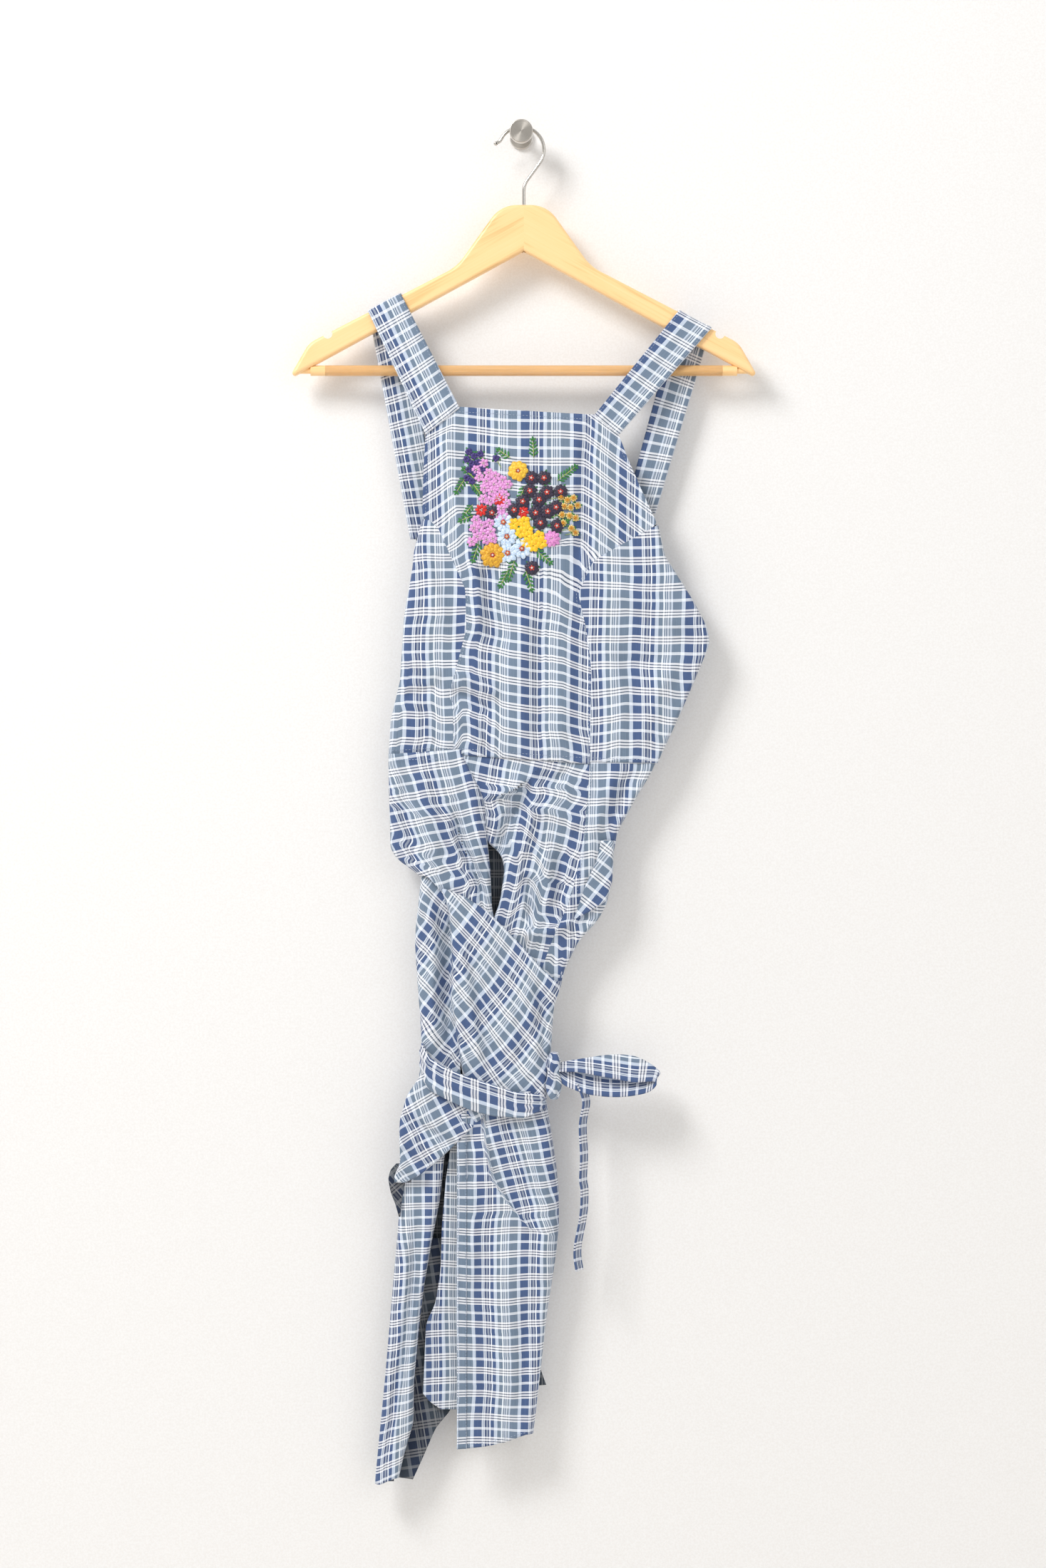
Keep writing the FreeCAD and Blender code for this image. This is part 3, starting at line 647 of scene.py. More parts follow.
def bodice_relief(x, z):
    """Forward stand of the cloth above the waist."""
    chest = 4.0 * np.exp(-((x + 2) / 60) ** 2 - ((z + 400) / 95) ** 2)
    return 1.25 * fold_height(x, z, BODICE_FOLDS) + chest + ripple(x, z, 0.8)


def skirt_relief(x, z):
    """Forward stand of the cloth between the waist and the belt."""
    return 1.2 * fold_height(x, z, SKIRT_FOLDS) + ripple(x, z, 1.0)


def wrap_relief(x, z):
    """Forward stand of the twisted wrap."""
    return fold_height(x, z, WRAP_FOLDS) + ripple(x, z, 1.0)


def lower_relief(x, z):
    """Forward stand of the lapping panel under the belt, gathered at its top."""
    pleats = 2.8 * np.sin(x / 4.4 + 0.6) * np.exp(-(-930 - z) / 30.0)
    return fold_height(x, z, LOWER_FOLDS) + pleats + ripple(x, z, 0.8)


def flap_relief(x, z):
    """Forward stand of the loose flap."""
    return fold_height(x, z, FLAP_FOLDS) + ripple(x, z, 0.8)


def bunch_relief(x, z):
    """Forward stand of the cloth bunched under the belt, with slanting creases."""
    line = (x + 60) * 0.5 + (z + 960)
    fade = np.clip((-z - 925) / 25, 0, 1)
    return fade * (2.6 * np.sin(line / 5.0) + 1.4 * np.sin(line / 2.9 + x / 19)) + ripple(x, z, 0.8)


def calm_relief(x, z):
    """Slight waves of a panel that hangs with nothing pulling at it."""
    return ripple(x, z, 0.9)


# --- Sizes and colours a user would change ----------------------------------------------------

class ApronCloth(bpy.types.PropertyGroup):
    """Sizes and colours of the cloth, the wood and the stitches."""
    warp_repeat: bpy.props.FloatProperty(
        name="Warp Repeat", description="Width of one repeat of the upright stripes",
        default=0.0505, min=0.02, max=0.2, unit="LENGTH")
    weft_repeat: bpy.props.FloatProperty(
        name="Weft Repeat", description="Height of one repeat of the level stripes",
        default=0.0256, min=0.01, max=0.2, unit="LENGTH")
    cloth_thickness: bpy.props.FloatProperty(
        name="Cloth Thickness", description="Thickness of one layer of the woven cotton",
        default=0.0006, min=0.0002, max=0.003, unit="LENGTH")
    strap_thickness: bpy.props.FloatProperty(
        name="Strap Thickness", description="Thickness of a strap, which is cloth folded double",
        default=0.0016, min=0.0005, max=0.0024, unit="LENGTH")
    dye: bpy.props.FloatProperty(
        name="Dye", description="Brightness of the dyed yarns, lower for a deeper dye",
        default=0.62, min=0.2, max=1.5, subtype="FACTOR")
    # The inner side is the same yarn as the outside; its lower brightness is painted shade
    reverse_painted_shade: bpy.props.FloatProperty(
        name="Reverse Shade", description="Brightness of the cloth's inner side",
        default=0.22, min=0.05, max=1.0, subtype="FACTOR")
    wood_colour: bpy.props.FloatVectorProperty(
        name="Wood Colour", description="Lacquered beech of the hanger",
        default=tuple(linear("#FACE91")[:3]), min=0.0, max=1.0, subtype="COLOR")
    stitch_colour: bpy.props.FloatVectorProperty(
        name="Stitch Colour", description="Sewing thread of the hems and seams",
        default=tuple(linear("#A9B6CC")[:3]), min=0.0, max=1.0, subtype="COLOR")


def plaid(context, reverse=False):
    """The plaid material, or its inner side darkened with painted shade, made once."""
    name = "plaid_cotton_reverse_painted_shade" if reverse else "plaid_cotton_poplin"
    sizes = context.scene.apron_cloth
    # The inner side is darkened by a fixed factor: painted shade, not a different yarn
    shade = sizes.reverse_painted_shade if reverse else 1.0
    return bpy.data.materials.get(name) or plaid_cotton(name, shade, sizes)


def outer_look(context):
    """Materials of a panel seen from the front: outside, then the inside, darkened with painted shade."""
    return [plaid(context), plaid(context, reverse=True)]


def painted_shade_inner_look(context):
    """Materials of a panel seen from its inside in front: the inside, darkened with painted shade, then
    outside.
    """
    return [plaid(context, reverse=True), plaid(context)]


# --- Operators --------------------------------------------------------------------------------

class APRON_OT_stage(bpy.types.Operator):
    """Make the wall, the pale floor, the soft lights and the camera"""
    bl_idname = "apron.stage"
    bl_label = "Build Stage"

    def execute(self, context):
        scene = context.scene
        camera = bpy.data.objects.new("camera", bpy.data.cameras.new("camera"))
        scene.collection.objects.link(camera)
        camera.location = (0.0017, -3.573, -0.623)
        camera.rotation_euler = (math.pi / 2, 0, 0)
        camera.data.lens = 85
        camera.data.sensor_width = 36
        camera.data.sensor_fit = "AUTO"
        scene.camera = camera
        scene.view_settings.view_transform = "Standard"

        # The wall stands 0.3 mm behind the rose, and the floor 0.3 m under the apron
        back = 0.0003
        low = -1.6
        wall = self.slab("wall", [(-4, back, low), (4, back, low), (4, back, 3), (-4, back, 3)])
        floor = self.slab("floor", [(-4, -5, low), (4, -5, low), (4, 3, low), (-4, 3, low)])
        # Emulsion paint, rolled: faint stipple 2 mm across, dead matt
        paint = speckled("matt_emulsion", "#ECEBEA", "#E7E5E3", 2.0, 0.95)
        board = speckled("limed_floor", "#F1EEEA", "#E8E4DE", 30.0, 0.7)
        # The wall is seen only from its front, so that the back of the apron shows
        tree = paint.node_tree
        facing = add(tree, "ShaderNodeNewGeometry")
        clear = add(tree, "ShaderNodeBsdfTransparent")
        mix = add(tree, "ShaderNodeMixShader", {0: facing.outputs["Backfacing"],
                                                1: tree.nodes["Principled BSDF"].outputs[0],
                                                2: clear.outputs[0]})
        tree.links.new(mix.outputs[0], tree.nodes["Material Output"].inputs[0])
        put_on(wall, paint)
        put_on(floor, board)
        wall.visible_shadow = False

        self.lamp("key", (-1.7, -2.0, 1.5), (0, 0, -0.35), 1.1, 72)
        self.lamp("fill", (2.2, -3.0, 0.4), (0, 0, -0.5), 2.4, 17)
        self.lamp("behind", (0.4, 2.6, 0.3), (0, 0, -0.6), 2.4, 30)
        world = bpy.data.worlds.new("studio")
        world.use_nodes = True
        world.node_tree.nodes["Background"].inputs[0].default_value = linear("#FFFFFF")
        world.node_tree.nodes["Background"].inputs[1].default_value = 0.64
        scene.world = world
        return {"FINISHED"}

    def slab(self, name, corners):
        """A flat stage surface."""
        mesh = bpy.data.meshes.new(name)
        mesh.from_pydata(corners, [], [(0, 1, 2, 3)])
        obj = bpy.data.objects.new(name, mesh)
        bpy.context.scene.collection.objects.link(obj)
        return obj

    def lamp(self, name, place, target, size, power):
        """A soft square light aimed at a point."""
        lamp = bpy.data.objects.new(name, bpy.data.lights.new(name, "AREA"))
        lamp.data.size = size
        lamp.data.energy = power
        lamp.location = place
        aim = Vector(target) - Vector(place)
        lamp.rotation_euler = aim.to_track_quat("-Z", "Y").to_euler()
        bpy.context.scene.collection.objects.link(lamp)


class APRON_OT_peg_and_hook(bpy.types.Operator):
    """Finish the wall peg, its fixings and the wire hook"""
    bl_idname = "apron.peg_and_hook"
    bl_label = "Finish Peg and Hook"

    def execute(self, context):
        nodes = frame["nodes"]
        put_on(nodes["peg"], turned_steel("turned_stainless_steel", True, 0.85, 0.28))
        put_on(nodes["wall_flange"], turned_steel("spun_stainless_rose", True, 0.4, 0.3, "#D8D4CE"))
        put_on(nodes["hanger_hook"], turned_steel("drawn_steel_wire", False, 0.0, 0.2, "#CFCBC4"))
        # Zinc plate is bluish and slightly cloudy
        put_on(nodes["hanger_bolt"], turned_steel("zinc_plated_steel", False, 0.0, 0.4, "#B9BDC4"))
        for name in ("swivel_bush", "retaining_washer", "bar_brads"):
            put_on(nodes[name], turned_steel("bright_steel_" + name, False, 0.0, 0.3, "#C4C2BE"))
        # Nylon 6, moulded: waxy grey with a slight bloom
        put_on(nodes["wall_plug"], speckled("moulded_nylon", "#A9ACAE", "#9A9DA0", 1.5, 0.55, IOR=1.53))
        return {"FINISHED"}


class APRON_OT_hanger(bpy.types.Operator):
    """Finish the wooden arms, the trouser bar and its clear sleeve"""
    bl_idname = "apron.hanger"
    bl_label = "Finish Hanger"

    def execute(self, context):
        nodes = frame["nodes"]
        sizes = context.scene.apron_cloth
        slope = math.radians(28.6)
        put_on(nodes["hanger_arm_left"], lacquered_beech("lacquered_beech_left", slope, sizes))
        put_on(nodes["hanger_arm_right"], lacquered_beech("lacquered_beech_right", -slope, sizes))
        put_on(nodes["trouser_bar"], lacquered_beech("turned_beech", 0.0, sizes))
        put_on(nodes["bar_sleeve"], clear_vinyl())
        return {"FINISHED"}


class APRON_OT_straps(bpy.types.Operator):
    """Make each strap as one band over the arm, down to the bib and down the back"""
    bl_idname = "apron.straps"
    bl_label = "Build Straps"

    # Bib corner, fold over the arm and foot at the back: x and z of the outer and inner edges
    ROUTES = {
        "left": (((-91.2, -289.5), (-58.7, -264.0)), ((-146.2, -171.6), (-115.0, -154.8)),
                 ((-106.5, -388), (-76.2, -388)), 8.0),
        "right": (((93.0, -290.0), (69.6, -271.0)), ((181.6, -187.5), (150.4, -170.8)),
                  ((128.8, -363), (98.5, -363)), 24.0),
    }

    def execute(self, context):
        sizes = context.scene.apron_cloth
        rows = []
        for side, (foot, crest, tail, shift) in self.ROUTES.items():
            edges = []
            for corner, top, low in zip(foot, crest, tail):
                front = [(corner[0] + (top[0] - corner[0]) * t, -38.6 + 0.9 * t,
                          corner[1] + (top[1] - corner[1]) * t) for t in np.linspace(0, 0.97, 12)]
                over = [(top[0], -36.6, top[1] - 0.5), (top[0], -33.5, top[1] + 1.5),
                        (top[0], -28.0, top[1] + 1.9), (top[0], -22.5, top[1] + 1.5),
                        (top[0], -19.6, top[1] - 1.0)]
                back = [(top[0] + (low[0] - top[0]) * t, -19.4 + 1.7 * t,
                         top[1] + (low[1] - top[1]) * t) for t in np.linspace(0.04, 1, 14)]
                edges.append(front + over + back)
            points, width, run = band_grid(edges[0], edges[1], 190, 17, crown=0.5)
            points[..., 1] += 0.25 * np.sin(run / 13.0)
            place = np.stack([width + shift, run], -1)
            strap = cloth_object("strap_" + side, points, place, sizes.strap_thickness / MM,
                                 [plaid(context)])
            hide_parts("strap_over_arm_" + side, "front_strap_" + side,
                        "back_strap_upper_" + side, "back_strap_lower_" + side)
            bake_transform(strap)
            # Stitches run one column in from each edge, 0.1 mm proud of the cloth
            for column in (1, 15):
                line = points[:, column].copy()
                line[:, 1] -= np.where(line[:, 1] < -28, 0.1, -0.1)
                rows.append((side, line))
        for side in ("left", "right"):
            seam = sew(context, "strap_stitches_" + side,
                       [line for where, line in rows if where == side], body=None)
            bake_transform(seam)
        return {"FINISHED"}


def thread(context):
    """Mercerised cotton sewing thread, twisted and slightly glossy."""
    found = bpy.data.materials.get("cotton_sewing_thread")
    if found:
        return found
    base = list(context.scene.apron_cloth.stitch_colour)
    shaded = [c * 0.8 for c in base]
    return speckled("cotton_sewing_thread", base + [1], shaded + [1], 0.8, 0.6, IOR=1.5)


LEFT_SEAM = [(-80, -377), (-53.4, -436.7), (-52.3, -475), (-63, -515.6), (-69, -537), (-65, -554),
             (-65, -595)]
RIGHT_SEAM = [(130.2, -375.4), (69.3, -409), (54.3, -441), (63, -479), (67, -516), (66, -554),
              (65.5, -604)]


def flank_turn(x, z, u, v):
    """Turns the checks off the straight where the bib's sides fall away from its front."""
    left = np.clip(np.interp(-z, [262, 298, 357, 395, 440], [-60, -72, -63, -50, -52]) - x, 0, None)
    right = np.clip(x - np.interp(-z, [262, 278, 376, 428], [62, 61.7, 58.4, 54]), 0, None)
    fade_left = np.clip((z + 470) / 60, 0, 1)
    fade_right = np.clip((z + 450) / 40, 0, 1)
    v = v - 0.58 * left * fade_left - 0.62 * right * fade_right
    u = u - 0.12 * left * fade_left + 0.14 * right * fade_right
    # Below the bouquet the cloth is pulled down towards its right seam
    pull = np.clip((-z - 400) / 50, 0, 1) * (0.19 - 0.10 * np.clip((-z - 470) / 110, 0, 1))
    v = v - (0.06 + pull) * (x + 50)
    return u, v + 1.2 * np.sin(x / 17.0 + z / 40.0)


def side_turn(x, z, u, v):
    """Waves in the level stripes of the side panels, stronger where the seams are eased."""
    easing = np.exp(-((x + 72) / 16) ** 2) + 0.5 * np.exp(-((x - 72) / 22) ** 2)
    return u + 0.8 * np.sin(z / 21), v + 1.2 * np.sin(x / 19 + z / 55) + 1.4 * easing * np.sin(z / 12.0)


class APRON_OT_bodice(bpy.types.Operator):
    """Make the bib, its facing and the shaped side panels with their stitched seams"""
    bl_idname = "apron.bodice"
    bl_label = "Build Bodice"

    def execute(self, context):
        look = outer_look(context)
        bib = panel(
            "bib", ["bib_centre_panel"],
            [(-58.7, -262.8), (-91.2, -288.5), (-93.2, -320), (-94.5, -366.8)] + LEFT_SEAM,
            [(69.6, -262.8), (69.6, -270.3), (93, -289), (101.7, -311.6), (113, -337.8)] + RIGHT_SEAM,
            [(0, -262.8), (1, -270.3)], [(0, -595), (1, -604)], BIB_DEPTH, bodice_relief, look,
            bend=flank_turn, soft=2.2)
        facing = panel(
            "bib_lining", ["bib_facing"], [(-57, -266), (-86, -290), (-85, -305)],
            [(66, -266), (66, -273), (86, -290), (88, -305)], [(0, -266), (1, -273)],
            [(0, -305), (1, -305)], -33.0, calm_relief, look, soft=1.0)
        left = panel(
            "side_left", ["side_panel_left"],
            [(-95, -370), (-103, -402), (-104, -415), (-112, -462), (-116, -524), (-125, -562),
             (-127, -596)],
            LEFT_SEAM, [(0, -370), (1, -377)], [(0, -596), (1, -595)], BIB_DEPTH, bodice_relief, look,
            rolls=(7, 0), shift=(11, 6), soft=2.2, bend=side_turn)
        right = panel(
            "side_right", ["side_panel_right"], RIGHT_SEAM,
            [(131, -375), (137.5, -405), (163, -445), (176, -469), (180, -484), (179, -492),
             (163, -531), (146, -569), (130, -604)],
            [(0, -375.4), (1, -376)], [(0, -602), (1, -603)], BIB_DEPTH, bodice_relief, look,
            rolls=(0, 4), turn=-25.5, shift=(-6, 4), soft=2.2, bend=side_turn)
        rows = []
        for keys, inset in ((LEFT_SEAM[1:], 1.6), (RIGHT_SEAM[1:], -1.6)):
            rows.append(on_surface(keys, bodice_relief, BIB_DEPTH, inset))
        rows.append(on_surface([(-60, -267.5), (68, -275.0)], bodice_relief, BIB_DEPTH, 0))
        rows.append(on_surface([(-88.5, -291), (-91.5, -366)], bodice_relief, BIB_DEPTH, 0))
        rows.append(on_surface([(90, -291), (99, -312), (110, -338), (125, -372)],
                               bodice_relief, BIB_DEPTH, 0))
        rows.append(on_surface([(-124, -591), (-66, -589), (0, -594), (66, -598), (126, -600)],
                               bodice_relief, BIB_DEPTH, 0))
        sew(context, "bodice_stitches", rows)
        return {"FINISHED"}


def on_surface(keys, relief, depth, inset):
    """A line laid just proud of a panel's front, from keys of x and z."""
    keys = np.array(keys, float)
    path = smooth_path(keys, 8 * len(keys))
    x = path[:, 0] + inset
    z = path[:, 1]
    return np.stack([x, depth - relief(x, z) - 0.15, z], -1)


class APRON_OT_back(bpy.types.Operator):
    """Make the two lapped back panels and the back of the skirt"""
    bl_idname = "apron.back"
    bl_label = "Build Back"

    def execute(self, context):
        # The inner side faces forward with its painted shade, so the gaps between the front panels look
        # dark
        look = painted_shade_inner_look(context)
        left = panel(
            "back_left", ["back_panel_left"],
            [(-101, -388), (-95, -404), (-102, -462), (-108, -524), (-116, -597)],
            [(-68, -388), (38, -523), (30, -597)], [(0, -388), (1, -388)], [(0, -597), (1, -597)],
            -17.0, calm_relief, look)
        right = panel(
            "back_right", ["back_panel_right"], [(98, -363), (-14, -523), (-10, -597)],
            [(124, -363), (122, -378), (131, -405), (156, -445), (168, -482), (150, -531),
             (122, -597)], [(0, -363), (1, -363)], [(0, -597), (1, -597)], -22.5, calm_relief,
            look, shift=(14, 5))
        skirt = panel(
            "skirt_back", ["skirt_panel_back"],
            [(-118, -597), (-116, -686), (-92, -704), (-92, -797), (-88, -902)],
            [(123, -597), (86, -668), (78, -738), (38, -802), (22, -859), (17, -902)],
            [(0, -597), (1, -597)], [(0, -902), (1, -902)], -17.5, calm_relief, look,
            shift=(5, 11))
        lower = panel(
            "lower_back", ["lower_panel_back"],
            [(-86, -902), (-87, -965), (-92, -1100), (-93, -1208)],
            [(16, -902), (16, -953), (24, -995), (24, -1090), (15, -1150), (14, -1172), (24, -1200)],
            [(0, -902), (1, -902)], [(0, -1208), (1, -1200)], -17.5, calm_relief, look,
            shift=(9, 2))
        return {"FINISHED"}


def skirt_turn(x, z, u, v):
    turn = 0.16 + 0.14 * np.clip((-z - 640) / 80, 0, 1)
    wave = 1.3 * np.sin((x + 60) / 9.0) * np.exp(-((x + 48) / 22.0) ** 2)
    return u - turn * (-z - 596), v + turn * (x + 95) + wave


def wrap_turn(x, z, u, v):
    """Curves the wrap's checks round the hip as it is drawn down to the knot."""
    return u + 0.0016 * (z + 820) ** 2, v + 0.0022 * (x - 30) ** 2


def lower_turn(x, z, u, v):
    """The lower skirt tips back as it hangs, so its checks look closer, and a pleat turns them."""
    pleat = np.interp(-z, [949, 976, 998.5, 1027, 1046, 1056], [-36.7, -32.8, -28.8, -9.2, 6, 40])
    turned = np.clip((x - pleat) / 1.5, 0, 1) * (z > -1056)
    # The height alone sets the rows, or the steep edge of the pleat would bunch them
    v = -z + 0.20 * turned * (x - 20)
    u = u + 0.27 * turned * (z + 1056)
    return 1.10 * u + 0.8 * np.sin(z / 26), 1.15 * v + 1.3 * np.sin(x / 15 + z / 60)


class APRON_OT_skirt(bpy.types.Operator):
    """Make the skirt between the waist and the belt, with its folds and the twisted wrap"""
    bl_idname = "apron.skirt"
    bl_label = "Build Upper Skirt"

    def execute(self, context):
        look = outer_look(context)
        left = panel(
            "skirt_left", ["skirt_panel_left"],
            [(-127, -596), (-126.7, -623), (-125, -685), (-119, -695), (-96, -711), (-96, -761)],
            [(-56, -594), (-43, -620), (-34, -640), (-33, -670), (-29.5, -705), (-28, -740),
             (-24, -760)],
            [(0, -594), (1, -590)], [(0, -711), (0.3, -731), (0.7, -748), (1, -759)], -40.5,
            skirt_relief, look, rolls=(7, 4), shift=(7, 10), soft=3.0,
            bend=skirt_turn)
        centre = panel(
            "skirt_centre", ["skirt_panel_centre"],
            [(-62, -588), (-52, -640), (-36, -676), (-19, -690), (-16, -705), (-20.5, -736),
             (-32, -765), (-60, -806)],
            [(65.9, -592), (64, -630), (60, -671), (55, -705), (51, -735), (46, -770), (36, -818)],
            [(0, -588), (1, -594)], [(0, -812), (1, -818)], -36.6, skirt_relief, look,
            rolls=(3, 0), grain=-13, shift=(3, 8), turn=-26.0)
        right = panel(
            "skirt_right", ["skirt_panel_right"],
            [(65.9, -596), (64, -630), (60, -671), (54, -705), (46, -735), (28, -776), (14, -816)],
            [(129, -602), (122.6, -616), (114, -629), (92.5, -668), (88, -691), (85, -721),
             (82, -738), (73, -754), (54.5, -774), (41, -802), (38, -816)],
            [(0, -598), (1, -599)], [(0, -815), (1, -815)], -36.9, skirt_relief, look,
            rolls=(0, 4), shift=(15, 3))
        fold = panel(
            "skirt_turned_fold", None,
            [(76, -677), (72, -696), (61, -720), (50, -752)],
            [(89, -677), (87, -716), (82, -735), (52, -753)],
            [(0, -677), (1, -677)], [(0, -751), (1, -752)], -41.8, calm_relief, look,
            rolls=(0, 3), turn=-30.0, grain=-38, soft=2.0)
        drape = panel(
            "skirt_drape", ["skirt_drape_left"],
            [(-94, -692), (-96, -712), (-98.5, -738), (-102, -771), (-100, -804), (-96, -857), (-95, -893),
             (-92, -920)],
            [(-58, -692), (-58, -920)], [(0, -693), (1, -716)], [(0, -912), (1, -919)], -37.2,
            skirt_relief, look, rolls=(7, 0), grain=-40)
        wrap = panel(
            "wrap", ["twisted_wrap_panel"],
            [(-77, -722), (-69, -745), (-66, -790), (-67, -830), (-60, -875), (-52, -925)],
            [(39, -722), (39, -812), (31, -837), (28.7, -873), (24, -928)],
            [(0, -723), (0.17, -731), (0.33, -744), (0.5, -761), (0.67, -778), (0.83, -796),
             (1, -811)],
            [(0, -915), (1, -928)], -44.5, wrap_relief, look, rolls=(4, 6), turn=-28.0, grain=-36,
            bend=wrap_turn)
        rows = [on_surface([(-124, -600), (-70, -599)], skirt_relief, -42.0, 0),
                on_surface([(67.5, -606), (65.6, -630), (61.6, -671), (56.6, -705), (52.6, -733)],
                           skirt_relief, -37.4, 0)]
        sew(context, "skirt_stitches", rows)
        return {"FINISHED"}


class APRON_OT_belt(bpy.types.Operator):
    """Make the belt, its knot, the bow's loop and the hanging end"""
    bl_idname = "apron.belt"
    bl_label = "Build Belt and Bow"

    def execute(self, context):
        look = [plaid(context)]
        thick = context.scene.apron_cloth.strap_thickness / MM
        # Once round the gathered skirt, from the knot and back to it
        turn = np.linspace(0, 2 * math.pi, 120)
        columns = 19
        middle_x = -36.5
        middle_y = -30.5
        # A power under 1 squares the ring, so that it lies flat across the front
        square = 0.55
        x = middle_x + 60.0 * np.sign(np.cos(turn)) * np.abs(np.cos(turn)) ** square
        y = middle_y - 21.5 * np.sign(np.sin(turn)) * np.abs(np.sin(turn)) ** square
        top = np.interp(x, [-97, -88, -76, -52.6, -30, -5.6, 24],
                        [-870, -884, -891.6, -901, -908, -916, -919])
        low = np.interp(x, [-97, -86.5, -63, -46, -26.5, 3.5, 24],
                        [-908, -916, -927, -934, -939, -941, -932])
        share = np.linspace(0, 1, columns)[None, :]
        z = top[:, None] * (1 - share) + low[:, None] * share
        crease = (0.9 * np.sin(share * 21 + x[:, None] / 31) + 0.6 * np.sin(share * 11 - x[:, None] / 17)
                  + 2.0 * (1 - (2 * share - 1) ** 2))
        swell = 1 + crease / 60
        points = np.stack([middle_x + (x[:, None] - middle_x) * (1 + (crease - 1) / 90),
                           middle_y + (y[:, None] - middle_y) * swell, z], -1)
        run = np.concatenate([[0], np.cumsum(np.hypot(np.diff(x), np.diff(y)))])
        place = np.stack([18.2 - (top[:, None] - z), np.repeat(run[:, None], columns, axis=1)], -1)
        belt = cloth_object("belt_band", points[:, ::-1], place[:, ::-1], thick, look)
        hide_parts("belt")
        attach(belt, "apron")

        # The knot stands for the band turned over itself, as one body with lobes and creases
        around = np.linspace(0, 2 * math.pi, 37)[None, :]
        up = np.linspace(0.02, math.pi - 0.02, 31)[:, None]
        lobes = 1 + 0.13 * np.cos(5 * around + 2.2 * up) + 0.07 * np.cos(3 * around - 4 * up)
        waist = 1 - 0.22 * np.exp(-((up - 1.45) / 0.28) ** 2)
        bulge = np.sin(up) ** 0.6
        body = np.stack([31.0 + 7.2 * bulge * np.cos(around) * lobes * waist,
                         -44.5 - 9.0 * bulge * np.sin(around) * lobes * waist,
                         (-901 + 23 * np.cos(up)) * np.ones_like(around)], -1)
        across, fall = cloth_lengths(body)
        u, v = spin(across, fall, 25)
        knot = cloth_object("knot", body, np.stack([u, v], -1), 0.5, look)
        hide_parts("tie_knot")
        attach(knot, "apron")

        # The loop leaves the knot on top, turns back at its tip and comes in again below
        near = [(36, -50, -897), (55, -51.5, -897.5), (85, -52, -903), (108, -50.5, -907),
                (127, -46, -907), (121, -49, -916), (94, -51.5, -920.5), (66, -51, -918.5),
                (45, -49, -912), (36, -48, -906)]
        far = [(36, -42, -889), (55, -39, -886), (85, -36.5, -882), (110, -35, -884),
               (131, -35.5, -897), (124, -37, -903), (94, -40, -904), (66, -41, -900),
               (45, -43, -897), (36, -44, -896)]
        points, width, run = band_grid(near, far, 130, 13, crown=1.2)
        points[..., 1] += 0.4 * np.sin(run / 7.0)
        bow = cloth_object("bow", points, np.stack([width + 3, run], -1), thick * 0.8, look)
        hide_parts("bow_loop")
        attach(bow, "bow")

        middle = [(55, -908), (60.5, -926), (58.5, -949), (58.5, -996), (60, -1012), (56.5, -1043),
                  (53, -1071), (54, -1087)]
        near = [(x - 1.5, -50.5, z) for x, z in middle]
        far = [(x + 4.8, -35.0, z) for x, z in middle]
        points, width, run = band_grid(near, far, 110, 11, crown=1.0)
        points[..., 0] += 0.7 * np.sin(run / 9.0)
        tail = cloth_object("hanging_end", points, np.stack([width + 3, run], -1), thick, look)
        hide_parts("tie_tail")
        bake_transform(tail)
        return {"FINISHED"}


def flap_turn(x, z, u, v):
    """Swings the checks as the loose flap twists towards its foot."""
    fall = np.clip((-1000 - z) / 290, 0, 1)
    return 1.1 * u + 6 * fall, 1.15 * v + 0.5 * fall * (x + 120)


